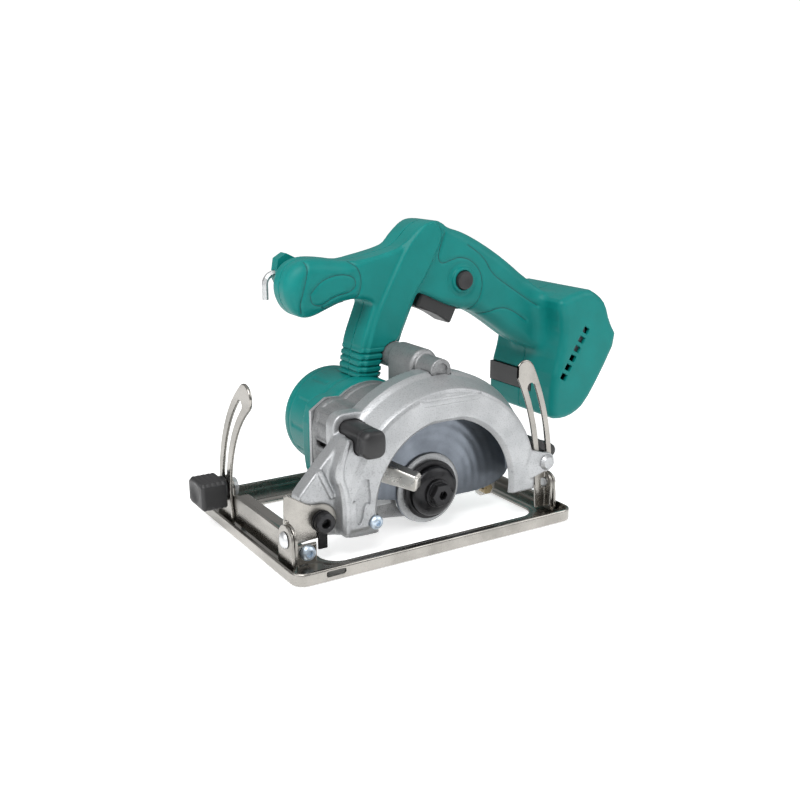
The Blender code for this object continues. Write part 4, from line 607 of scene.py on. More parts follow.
# ---------------------------------------------------------------- base
@dataclass
class Base:
    """Pressed base plate with its turned-up lip, hinge ears and stop tab, and the bevel quadrant."""

    half: tuple[float, float] = (103.0, 81.0)
    sheet: float = 1.8
    lip: float = 8.0
    corner: float = 9.0
    opening: tuple[float, float, float, float] = (-86.0, 72.0, -54.0, 61.5)
    cell: float = 0.78

    def plate_field(self, x: Array, y: Array, z: Array) -> Array:
        """Returns the base plate: a tray with an opening, two ears, a tab and two fence slots.

        Args:
            x: Coordinates along the cutting direction, in millimetres.
            y: Coordinates across the saw, in millimetres.
            z: Heights, in millimetres.

        Returns:
            The signed distance in millimetres, negative inside.
        """
        hx, hy = self.half
        around = box2(x, y, (-hx, -hy), (hx, hy), self.corner)
        tray = rounded(around, slab(z, 0.0, self.lip), 1.3)
        tray = carved(tray, rounded(around + self.sheet, self.sheet - z, 1.2))
        rear, front, far, near = self.opening
        hole = box2(x, y, (rear, far), (front, near), 12.0)
        shape = carved(tray, hole, 1.0)
        rib = np.abs(hole - 5.0) - 1.2
        shape = joined(shape, rounded(rib, slab(z, self.sheet - 0.6, self.sheet + 0.5), 0.4), 1.0)
        for low, radius in ((97.0, 9.0), (-99.0, 7.0)):
            ear = softened([(HINGE[0] - radius - 2, 0.9), (HINGE[0] + radius + 2, 0.9)]
                           + arc(HINGE, radius, 0, 180, 24), 1)
            tab = plate(y, z, ear, low, low + 2.0, x, 0.5)
            tab = carved(tab, disc(y, z, HINGE, HINGE_BORE))
            shape = joined(shape, tab, 0.8)
        stop = plate(x, z, [(77, 0.9), (90, 0.9), (90, 14.6), (77, 14.6)], 54.3, 56.3, y, 0.7)
        shape = joined(shape, stop, 0.6)
        fence = box2(x, z, (71.0, 2.9), (83.5, 6.3), 1.2)
        shape = np.where(np.abs(y) > 76, carved(shape, fence, 0.4), shape)
        shape = carved(shape, disc(x, y, (89.0, -23.0), 2.3))
        return np.maximum(shape, np.maximum(-z, np.abs(x) - hx))

    def quadrant_field(self, x: Array, y: Array, z: Array) -> Array:
        """Returns the bevel quadrant: a slotted arc plate with a foot folded forwards.

        Args:
            x: Coordinates along the cutting direction, in millimetres.
            y: Coordinates across the saw, in millimetres.
            z: Heights, in millimetres.

        Returns:
            The signed distance in millimetres, negative inside.
        """
        start, end, radius, half = 125.5, 181.5, 90.0, 9.0
        arc_in = arc(HINGE, radius - half, end, start, 40)
        arc_out = arc(HINGE, radius + half, start, end, 44)
        cap = arc(polar(HINGE, radius, start), half, start + 180, start + 360, 20)
        outline = arc_out + [(-44.0, 10.0), (-44.0, 2.1), (-21.0, 2.1), (-21.0, 10.0)] + arc_in + cap[1:-1]
        sheet = plate(y, z, softened(outline, 1), 97.0, 99.0, x, 0.6)
        slot = arc_distance(y, z, HINGE, radius, 131.3, 177.7) - BOLT_BORE
        foot = rounded(box2(x, y, (97.0, -44.0), (100.9, -21.0), 0.8), slab(z, 2.1, 4.1), 0.5)
        return joined(carved(sheet, slot, 0.4), foot, 1.2)

    def build(self) -> None:
        """Makes the base's pieces."""
        hx, hy = self.half
        Piece("base_tray", "base", ("base_plate",), "plated_sheet", NICKEL).grow(
            self.plate_field, (-hx, -hy, 0), (hx, hy, 31.0), self.cell)
        Piece("bevel_quadrant_plate", "base", ("bevel_quadrant",), "plated_sheet", NICKEL).grow(
            self.quadrant_field, (97, -45, 2), (101, 17, 106), 0.55)
        rivet = [(0.0, 2.2), (2.2, 2.1), (4.2, 1.3), (5.2, 0.0), (3.0, 0.0)]
        front = [(r, RIVET_SEAT + h) for r, h in rivet] + [(3.0, 93.4), (0.0, 93.4)]
        Piece("front_rivet", "base", ("front_hinge_pin",), "steel", STEEL).turn(front, HINGE, Facing.X)
        retouch(["rear_hinge_pin"], STEEL)
        ScrewSet().build_base()

    def dress(self) -> None:
        """Engraves the strip in front of the opening with graduated marks."""
        marks = []
        for index in range(26):
            y = -66.0 + index * 4.4
            reach = 3.4 if index % 5 else 5.6
            marks.append(((86.6 - reach, y - 0.35), (86.6, y + 0.35)))
        points, faces = flat_marks(marks, self.sheet + 0.03)
        Piece("strip_marks", "base", (), None, BLACK_STEEL).make(points, faces)


def flat_marks(marks: Sequence[tuple], height: float, thick: float = 0.08) -> tuple[Array, Array]:
    """Returns thin closed bars on a level face.

    Args:
        marks: Pairs of low and high (x, y) corners.
        height: Where it starts, as a height.
        thick: How thick each bar is.

    Returns:
        Vertices and quads.
    """
    low = np.array([a for a, _ in marks])
    high = np.array([b for _, b in marks])
    corners = [np.stack((np.where(i, high[:, 0], low[:, 0]), np.where(j, high[:, 1], low[:, 1]),
                         np.full(len(marks), height + k * thick)), 1)
               for k in (0, 1) for i, j in ((0, 0), (1, 0), (1, 1), (0, 1))]
    points = np.stack(corners, 1).reshape(-1, 3)
    cube = np.array([(0, 3, 2, 1), (4, 5, 6, 7), (0, 1, 5, 4), (1, 2, 6, 5), (2, 3, 7, 6), (3, 0, 4, 7)])
    faces = (np.arange(len(marks))[:, None, None] * 8 + cube[None]).reshape(-1, 4)
    return points, faces


# ---------------------------------------------------------------- screws and turned pieces
@dataclass
class ScrewSet:
    """Round-headed and socket screws with their recesses."""

    steps: int = 48

    def pan(self, piece: Piece, centre: tuple[float, float], seat: float, radius: float, height: float,
            shank: float, length: float, facing: Facing = Facing.Y) -> None:
        """Makes a pan-head screw with a round recess.

        Args:
            piece: The piece to make.
            centre: The centre in the plane.
            seat: The face under its head.
            radius: The head's radius.
            height: The head's height.
            shank: The shank's radius.
            length: The shank's length.
            facing: The axis it is carried round.
        """
        top = seat + height
        profile = [(0, top - height * 0.6), (radius * 0.36, top - height * 0.6), (radius * 0.42, top - 0.12),
                   (radius * 0.5, top), (radius * 0.72, top - height * 0.1), (radius * 0.92, top - height * 0.36),
                   (radius, top - height * 0.62), (radius, seat + 0.1), (radius - 0.1, seat), (shank, seat),
                   (shank, seat - length + 0.6), (shank - 0.6, seat - length), (0, seat - length)]
        piece.turn(profile, centre, facing, steps=self.steps)

    def build_base(self) -> None:
        """Makes the bevel stop screw and finishes the clamp screw."""
        self.pan(Piece("bevel_stop_pan", "base", ("bevel_stop_screw",), "blue_zinc", ZINC), (83.6, 9.6), 56.6,
                 4.9, 3.6, 2.0, 7.0)
        retouch(["fence_clamp_screw"], ZINC)

    def build_guard(self) -> None:
        """Makes the guard's stop screw with its rubber, and the bracket's tinted screw."""
        self.pan(Piece("guard_stop_pan", "saw", ("guard_stop_screw",), "blue_zinc", ZINC), STOP_SCREW, 61.7,
                 4.4, 3.2, 2.2, 7.5)
        ring = [(2.6, 57.9), (3.0, 58.1), (4.3, 58.1), (4.6, 57.7), (4.6, 55.5), (4.4, 55.2), (2.6, 55.2)]
        Piece("stop_sleeve", "saw", ("guard_stop_rubber",), "black_rubber", RUBBER).turn(ring, STOP_SCREW)
        retouch(["stop_bracket_screw"], BRASS)
        retouch(["stop_bracket"], BRIGHT)


# ---------------------------------------------------------------- tilting frame
@dataclass
class TiltFrame:
    """Web and bracket at the front, and the slotted depth guide at the rear."""

    web: tuple[float, float] = (94.7, 96.7)
    bracket: tuple[float, float] = (52.0, 54.0)
    guide: tuple[float, float] = (57.0, 59.0)

    def web_field(self, x: Array, y: Array, z: Array) -> Array:
        """Returns the web across the base with its folded flange and the bracket to the pivot.

        Args:
            x: Coordinates along the cutting direction, in millimetres.
            y: Coordinates across the saw, in millimetres.
            z: Heights, in millimetres.

        Returns:
            The signed distance in millimetres, negative inside.
        """
        pad, by = 8.5, BEVEL_BOLT[0]
        outline = ([(67.5, 8.0), (67.5, 21.5)] + arc(HINGE, 9.0, 0, 90, 16)[1:] + [(52.0, 30.5), (52.0, 23.0)]
                   + [(by + pad, 23.0)] + arc(BEVEL_BOLT, pad, 0, 180, 24)[1:]
                   + [(by - pad, 11.0), (by - pad + 6, 5.0), (64.5, 5.0)])
        shape = plate(y, z, outline, self.web[0], self.web[1], x, 0.6)
        shape = carved(shape, disc(y, z, HINGE, HINGE_BORE))
        shape = carved(shape, disc(y, z, BEVEL_BOLT, BOLT_BORE))
        flange = rounded(box2(x, y, (86.7, by + pad + 2), (96.7, 46.0), 1.5), slab(z, 21.0, 23.0), 0.5)
        ear = ([(96.7, 14.9), (96.7, 46.0), (94.7, 47.0), (82.5, 39.0), (78.0, 37.2)]
               + arc(PIVOT, 10.5, 90, 270, 28) + [(82.5, 15.5), (86, 14.9)])
        arm = plate(x, z, softened(ear, 1), self.bracket[0], self.bracket[1], y, 0.6)
        arm = carved(arm, disc(x, z, PIVOT, PIVOT_BORE))
        return np.maximum(joined(joined(shape, flange, 1.2), arm, 1.6), x - self.web[1])

    def guide_field(self, x: Array, y: Array, z: Array) -> Array:
        """Returns the slotted arc round the pivot with its foot and the rear hinge web.

        Args:
            x: Coordinates along the cutting direction, in millimetres.
            y: Coordinates across the saw, in millimetres.
            z: Heights, in millimetres.

        Returns:
            The signed distance in millimetres, negative inside.
        """
        radius, half, rest, span = 165.5, 7.3, 176.4, 18.0
        top, low = rest - span - 5.0, rest + 2.4
        band = (arc(PIVOT, radius + half, top, low, 40)
                + [(-96.7, 29.4), (-96.7, 4.0), (-87.5, 4.0), (-86.5, 20.0)]
                + arc(PIVOT, radius - half, low - 1.0, top, 40)
                + arc(polar(PIVOT, radius, top), half, top + 180, top + 360, 20)[1:-1])
        shape = plate(x, z, band, self.guide[0], self.guide[1], y, 0.7)
        slot = arc_distance(x, z, PIVOT, radius, rest - span - 0.6, rest + 0.6) - BOLT_BORE
        shape = carved(shape, slot, 0.5)
        web = [(51.5, 4.0), (65.5, 4.0)] + arc(HINGE, 7.0, 0, 180, 20)
        rear = plate(y, z, web, -96.7, -94.7, x, 0.5)
        return carved(joined(shape, rear, 1.0), np.maximum(disc(y, z, HINGE, HINGE_BORE), x + 91.2))

    def knob_field(self, x: Array, y: Array, z: Array) -> Array:
        """Returns the bevel knob: a block with round edges on a hub, and grip flutes in its sides.

        Args:
            x: Coordinates along the cutting direction, in millimetres.
            y: Coordinates across the saw, in millimetres.
            z: Heights, in millimetres.

        Returns:
            The signed distance in millimetres, negative inside.
        """
        by, bz = BEVEL_BOLT
        outline = [(by - 12, bz - 7), (by - 9, bz - 9), (by + 12, bz - 9), (by + 13, bz - 8), (by + 13, bz + 7),
                   (by + 11, bz + 9), (by - 8, bz + 9), (by - 12, bz + 6)]
        face = outline_distance(y, z, outline)
        block = rounded(face, slab(x, 101.8, 119.3), 2.2)
        ridge = 0.25 * np.cos(2 * np.pi * (x - 101.8) / 3.5) * step(np.abs(z - bz), 6.5, 8.0)
        block = block + np.maximum(ridge, 0) * step(x, 102.5, 104.0)
        dish = np.sqrt((x - 131.5) ** 2 + (y - by) ** 2 * 0.8 + (z - bz) ** 2) - 14.0
        hub = rounded(disc(y, z, BEVEL_BOLT, 8.2), slab(x, 99.3, 103.3), 0.6)
        shape = joined(carved(block, dish, 0.8), hub, 0.8)
        return carved(shape, rounded(disc(y, z, BEVEL_BOLT, BOLT_BORE), slab(x, 90, 105.6), 0.1))

    def build(self) -> None:
        """Makes the tilting frame's pieces and its knob."""
        Piece("bevel_web", "tilt_frame", ("bevel_frame",), "plated_sheet", NICKEL).grow(
            self.web_field, (62, -41, 4), (97, 68, 48), 0.6)
        Piece("depth_slide", "tilt_frame", ("depth_guide",), "plated_sheet", NICKEL).grow(
            self.guide_field, (-101, 50, 3), (-70, 67, 110), 0.5)
        Piece("bevel_grip", "bevel_lock", ("bevel_knob",), "black_plastic", BLACK).grow(
            self.knob_field, (99, -46, 15), (120, -16, 37), 0.4)
        cap = [(0, 56.7), (2.9, 56.7), (2.9, 60.4), (3.2, 60.7), (5.4, 60.7), (6.1, 60.2), (6.3, 59.5),
               (6.3, 54.5), (6.2, 54.3), (4.0, 54.3), (4.0, 40.4), (3.6, 40.0), (0, 40.0)]
        Piece("pivot_cap_screw", "tilt_frame", ("pivot_screw",), "black_steel", BLACK_STEEL).turn(cap, PIVOT)
        retouch(["pivot_lock_washer"], BLACK_STEEL)
        retouch(["bevel_bolt"], STEEL)
        retouch(["depth_bolt"], CAST)


@dataclass
class DepthKnob:
    """Wing knob of the depth lock, behind the slotted guide."""

    def shape(self, x: Array, y: Array, z: Array) -> Array:
        """Returns the knob: a round hub with a tapered wing and a neck.

        Args:
            x: Coordinates along the cutting direction, in millimetres.
            y: Coordinates across the saw, in millimetres.
            z: Heights, in millimetres.

        Returns:
            The signed distance in millimetres, negative inside.
        """
        r = disc(x, z, DEPTH_BOLT, 0.0)
        turn = np.arctan2(z - DEPTH_BOLT[1], x - DEPTH_BOLT[0])
        hub = rounded(r - 12.2 + 0.35 * np.cos(turn * 22), slab(y, 35.2, 50.5), 2.0)
        neck = rounded(r - 6.8, slab(y, 48.0, 56.0), 0.5)
        cx, cz = DEPTH_BOLT
        wing = [(cx + 2, cz - 10.8), (cx - 12, cz - 8.5), (cx - 20.5, cz - 3.5), (cx - 22.5, cz + 0.5),
                (cx - 20.5, cz + 4.5), (cx - 12, cz + 8.5), (cx + 2, cz + 10.8)]
        blade = plate(x, z, softened(wing, 1), 39.0, 47.0, y, 2.4)
        body = joined(joined(hub, blade, 2.5), neck, 1.0)
        return carved(body, np.maximum(r - BOLT_BORE, 49.7 - y))

    def build(self) -> None:
        """Makes the knob."""
        Piece("depth_grip", "depth_lock", ("depth_knob",), "black_plastic", BLACK).grow(
            self.shape, (-116, 35, 23), (-79, 57, 51), 0.5)


# ---------------------------------------------------------------- blade guards
@dataclass
class Guards:
    """Cast upper guard with its foot, collar, leg and lug; the sheet lower guard and its lever."""

    leg: float = 19.5
    cell: float = 0.72

    def upper_field(self, x: Array, y: Array, z: Array) -> Array:
        """Returns the upper guard: a turned section with a window, and the cast foot at the front.

        Args:
            x: Coordinates along the cutting direction, in millimetres.
            y: Coordinates across the saw, in millimetres.
            z: Heights, in millimetres.

        Returns:
            The signed distance in millimetres, negative inside.
        """
        r = np.hypot(x - SPINDLE[0], z - SPINDLE[1])
        section = [(50.0, 62.0), (68.4, 62.0), (70.6, 61.0), (71.6, 59.0), (76.2, 47.0), (77.6, 44.6),
                   (78.6, 42.6), (78.6, 32.0), (26.0, 32.0), (26.0, 35.0), (75.0, 35.0), (75.0, 42.0),
                   (72.8, 46.0), (67.0, 55.9), (67.0, 58.4), (50.0, 58.4)]
        shell = outline_distance(r, y, section) - 0.15
        shell = rounded(shell, self.leg - z, 0.8)
        stepped = ([(40, 80), (52, 78), (64, 66), (84.5, 44.5), (86.0, 41.0), (85.0, 33.0)]
                   + arc(PIVOT, 11.0, -10, -90, 12) + [(56, 13.2), (50, 13.2), (48, 30), (40, 60)])
        low_step = plate(x, z, softened(stepped, 2), 40.0, 51.7, y, 1.6)
        raised = [(56, 78), (61, 69), (67.0, 55), (61.8, 42), (61.8, 17), (58, 13.2), (26, 13.2), (22, 22),
                  (24, 60)]
        high_step = plate(x, z, softened(raised, 2), 44.0, 61.2, y, 2.2)
        shape = joined(joined(shell, low_step, 3.0), high_step, 3.0)
        for points, width, top in (([(57.5, 75.0), (64.0, 56.0), (58.6, 42.0), (58.6, 18.0)], 1.3, 62.3),
                                   ([(36.0, 70.0), (29.0, 55.0), (27.0, 40.0), (27.0, 17.0)], 1.3, 62.2),
                                   ([(72.0, 56.0), (64.5, 40.0)], 1.6, 53.6)):
            ridge = path_distance(x, z, softened(points, 2, False)) - width
            shape = joined(shape, rounded(ridge, slab(y, top - 10.0, top), 0.7), 1.2)
        ring = box2(x, z, (PLUG[0] - 12.0, PLUG[1] - 13.0), (PLUG[0] + 12.0, PLUG[1] + 13.0), 8.5)
        shape = joined(shape, rounded(ring, slab(y, 33.5, 43.5), 1.2), 2.5)
        lug = arc(DEPTH_BOLT, 6.6, 80, 280, 24) + [(-80, 27.3), (-76, 36.9), (-79, 47.5)]
        shape = joined(shape, plate(x, z, lug, 59.3, 62.8, y, 0.8), 1.2)
        rib = outline_distance(x, z, [(8.0, 92.5), (-38.0, 92.0), (-36.3, 88.6), (5.5, 88.6)])
        shape = joined(shape, rounded(rib, slab(y, 58.0, 62.9), 0.6), 0.8)
        return self.openings(shape, x, y, z, r)

    def openings(self, shape: Array, x: Array, y: Array, z: Array, r: Array) -> Array:
        """Returns the casting with its window, blade space, bores, seats and arrow cut.

        Args:
            shape: The solid casting.
            x: Coordinates along the cutting direction, in millimetres.
            y: Coordinates across the saw, in millimetres.
            z: Heights, in millimetres.
            r: Distances from the spindle's axis, in millimetres.

        Returns:
            The signed distance in millimetres, negative inside.
        """
        shape = carved(shape, np.maximum(r - 67.0, slab(y, 35.0, 58.4)), 0.3)
        top = np.maximum(r - 50.4 - np.maximum(y - 58.6, 0) * 0.85, z - 75.6 - np.maximum(y - 58.6, 0) * 0.9)
        shape = np.where(y > 50, carved(shape, top, 0.6), shape)
        shape = carved(shape, np.maximum(disc(x, z, PIVOT, PIVOT_BORE), slab(y, 38, 60)), 0.3)
        space = np.maximum(np.maximum(x + 74.0, z - 62.0), y - 55.5)
        shape = carved(shape, space, 0.5)
        shape = carved(shape, np.maximum(disc(x, z, DEPTH_BOLT, BOLT_BORE), slab(y, 55, 70)))
        shape = carved(shape, np.maximum(disc(x, z, TUBE, 8.0), y - 46.0), 0.4)
        hole = box2(x, z, (PLUG[0] - 7.9, PLUG[1] - 8.9), (PLUG[0] + 7.9, PLUG[1] + 8.9), 5.2)
        shape = carved(shape, hole, 0.5)
        shape = carved(shape, disc(x, z, STOP_SCREW, 2.5))
        shape = carved(shape, np.maximum(disc(x, z, STOP_SCREW, 5.3), 61.4 - y), 0.2)
        shape = carved(shape, np.maximum(disc(x, z, STOP_SCREW, 5.0), slab(y, 55.0, 58.4)))
        arrow = softened([(49.5, 22.0), (53.0, 22.0), (52.6, 38.0), (56.5, 36.6), (45.0, 55.0), (42.6, 33.0),
                          (46.8, 35.6)], 1)
        cutter = np.maximum(outline_distance(x, z, arrow), 60.9 - y)
        shape = carved(shape, cutter, 0.3)
        return np.maximum(shape, 31.95 - y)

    def lower_field(self, x: Array, y: Array, z: Array) -> Array:
        """Returns the lower guard: a side wall with a spiral edge, concentric rings and a rim.

        Args:
            x: Coordinates along the cutting direction, in millimetres.
            y: Coordinates across the saw, in millimetres.
            z: Heights, in millimetres.

        Returns:
            The signed distance in millimetres, negative inside.
        """
        r = np.hypot(x - SPINDLE[0], z - SPINDLE[1])
        angle = (np.degrees(np.arctan2(z - SPINDLE[1], x - SPINDLE[0])) + 25.0) % 360 - 25.0
        reach = 23.9 + 42.1 * step(angle, -12.0, 14.0) * (1 - step(angle, 178.0, 206.0))
        wall = rounded((r - reach) * 0.9, slab(y, 36.4, 37.9), 0.4)
        within = np.maximum(14.0 - angle, angle - 178.0) * r * 0.0174
        rim = rounded(np.maximum(slab(r, 64.5, 66.0), within), slab(y, 36.6, 54.0), 0.4)
        shape = joined(wall, rim, 1.6)
        waves = 0.05 * np.cos((r - 26.0) * 2 * np.pi / 6.0) * step(r, 25, 28) * (1 - step(r, 54, 60))
        shape = shape + waves * step(y, 37.0, 37.8)
        return np.maximum(shape, np.maximum(21.3 - r, 36.4 - y))

    def lever_field(self, x: Array, y: Array, z: Array) -> Array:
        """Returns the lever: a tapered bar with a round end, leaning out from a round foot.

        Args:
            x: Coordinates along the cutting direction, in millimetres.
            y: Coordinates across the saw, in millimetres.
            z: Heights, in millimetres.

        Returns:
            The signed distance in millimetres, negative inside.
        """
        root, tip = np.array((27.5, 38.2, 48.0)), np.array((9.5, 63.5, 41.5))
        length = np.linalg.norm(tip - root)
        way = (tip - root) / length
        side = np.cross(way, (0.3, 0.0, 0.95))
        side /= np.linalg.norm(side)
        up = np.cross(side, way)
        dx, dy, dz = x - root[0], y - root[1], z - root[2]
        s = dx * way[0] + dy * way[1] + dz * way[2]
        t = dx * side[0] + dy * side[1] + dz * side[2]
        u = dx * up[0] + dy * up[1] + dz * up[2]
        half = 7.8 - 2.0 * step(s, 0, length)
        bar = rounded(rounded(np.abs(s - length / 2) - length / 2, np.abs(u) - half, 2.6),
                      np.abs(t) - 3.6, 1.3)
        foot = rounded(disc(x, z, (27.5, 48.0), 7.2), slab(y, 38.2, 43.2), 1.0)
        return np.maximum(joined(bar, foot, 3.5), 38.2 - y)

    def plug_field(self, x: Array, y: Array, z: Array) -> Array:
        """Returns the push block: a rounded bar with a slightly domed end and a side parting rib.

        Args:
            x: Coordinates along the cutting direction, in millimetres.
            y: Coordinates across the saw, in millimetres.
            z: Heights, in millimetres.

        Returns:
            The signed distance in millimetres, negative inside.
        """
        low, high = (PLUG[0] - 7.5, PLUG[1] - 8.5), (PLUG[0] + 7.5, PLUG[1] + 8.5)
        face = box2(x, z, low, high, 4.8)
        dome = 0.022 * ((x - PLUG[0]) ** 2 + (z - PLUG[1]) ** 2)
        block = rounded(face, slab(y, 38.5, 75.0 - dome), 2.4)
        band = 0.35 * np.exp(-((y - 66.0) / 0.6) ** 2)
        pin = rounded(disc(x, z, (42.1, 70.9), 2.2), slab(y, 23.7, 39.0), 0.4)
        return np.minimum(block + band, pin)

    def build(self) -> None:
        """Makes the guards' pieces."""
        Piece("guard_casting", "saw", ("upper_guard",), "cast_metal", CAST).grow(
            self.upper_field, (-101, 32, 13), (88, 64, 106), self.cell)
        Piece("guard_sheet", "swing_guard", ("lower_guard",), "steel", SHEET).grow(
            self.lower_field, (-80, 36, 2), (54, 55, 93), 0.62)
        Piece("guard_lever", "swing_guard", ("lower_guard_lever",), "cast_metal", BRIGHT).grow(
            self.lever_field, (2, 37, 32), (36, 69, 58), 0.4)
        Piece("lock_block", "spindle_lock", ("spindle_lock_button",), "black_plastic", BLACK).grow(
            self.plug_field, (38, 23, 65), (54, 76, 83), 0.4)
        ScrewSet().build_guard()
        retouch(["lower_guard_spring", "lock_spring"], STEEL)


# ---------------------------------------------------------------- arbor
@dataclass
class Arbor:
    """Flanges, blade bolt and bearing retainer on the spindle."""

    def build(self) -> None:
        """Makes the turned pieces of the arbor and finishes the ones inside the case."""
        outer = [(4.3, 50.0), (8.6, 50.0), (10.5, 49.75), (13.0, 49.2), (14.8, 48.5), (16.1, 47.5), (16.6, 46.5),
                 (16.6, 46.0), (16.3, 45.8), (9.0, 45.8), (8.8, 46.1), (4.3, 46.1)]
        Piece("clamp_flange", "spindle_group", ("outer_flange",), "black_steel", BLACK_STEEL).turn(
            outer, SPINDLE, steps=96)
        inner = [(6.3, 43.8), (17.2, 43.8), (17.5, 43.5), (19.3, 43.2), (19.6, 42.9), (19.6, 41.7), (18.6, 40.8),
                 (6.3, 40.8)]
        Piece("drive_flange", "spindle_group", ("inner_flange",), "black_steel", BLACK_STEEL).turn(
            inner, SPINDLE, steps=96)
        Piece("hex_bolt", "spindle_group", ("blade_bolt",), "black_steel", BLACK_STEEL).grow(
            self.bolt_field, (-23, 34, 17), (-4, 57, 36), 0.35)
        ring = [(8.6, 40.2), (21.6, 40.2), (22.6, 40.0), (23.3, 39.7), (23.6, 39.2), (23.6, 38.4), (23.4, 38.2),
                (20.0, 38.2), (20.0, 36.4), (8.6, 36.4)]
        Piece("retainer_ring", "saw", ("bearing_retainer",), "cast_metal", CAST).turn(ring, SPINDLE, steps=96)
        retouch(["spindle", "spindle_gear", "idler_gear", "rotor", "spindle_bearing_far", "spindle_bearing_near",
                 "rotor_bearing_far", "rotor_bearing_near"], STEEL)
        retouch(["rotor_fan"], BLACK)
        retouch(["motor_stator"], WINDING)

    def bolt_field(self, x: Array, y: Array, z: Array) -> Array:
        """Returns the blade bolt: a chamfered hexagon with a socket, a washer face and a shank.

        Args:
            x: Coordinates along the cutting direction, in millimetres.
            y: Coordinates across the saw, in millimetres.
            z: Heights, in millimetres.

        Returns:
            The signed distance in millimetres, negative inside.
        """
        dx, dz = x - SPINDLE[0], z - SPINDLE[1]
        across = np.maximum(np.abs(dx) * 0.866 + np.abs(dz) * 0.5, np.abs(dz)) - 6.58
        r = np.hypot(dx, dz)
        head = rounded(across, slab(y, 51.7, 56.9), 0.3)
        head = np.maximum(head, (r + (y - 56.9) * 1.4 - 6.9) * 0.6)
        socket = np.maximum(np.abs(dx) * 0.866 + np.abs(dz) * 0.5, np.abs(dz)) - 2.68
        head = carved(head, np.maximum(socket, 52.2 - y), 0.15)
        washer = rounded(r - 9.2, slab(y, 50.3, 52.3), 0.5)
        shank = rounded(r - 4.0, slab(y, 34.8, 51.0), 0.5)
        return np.minimum(joined(head, washer, 0.5), shank)


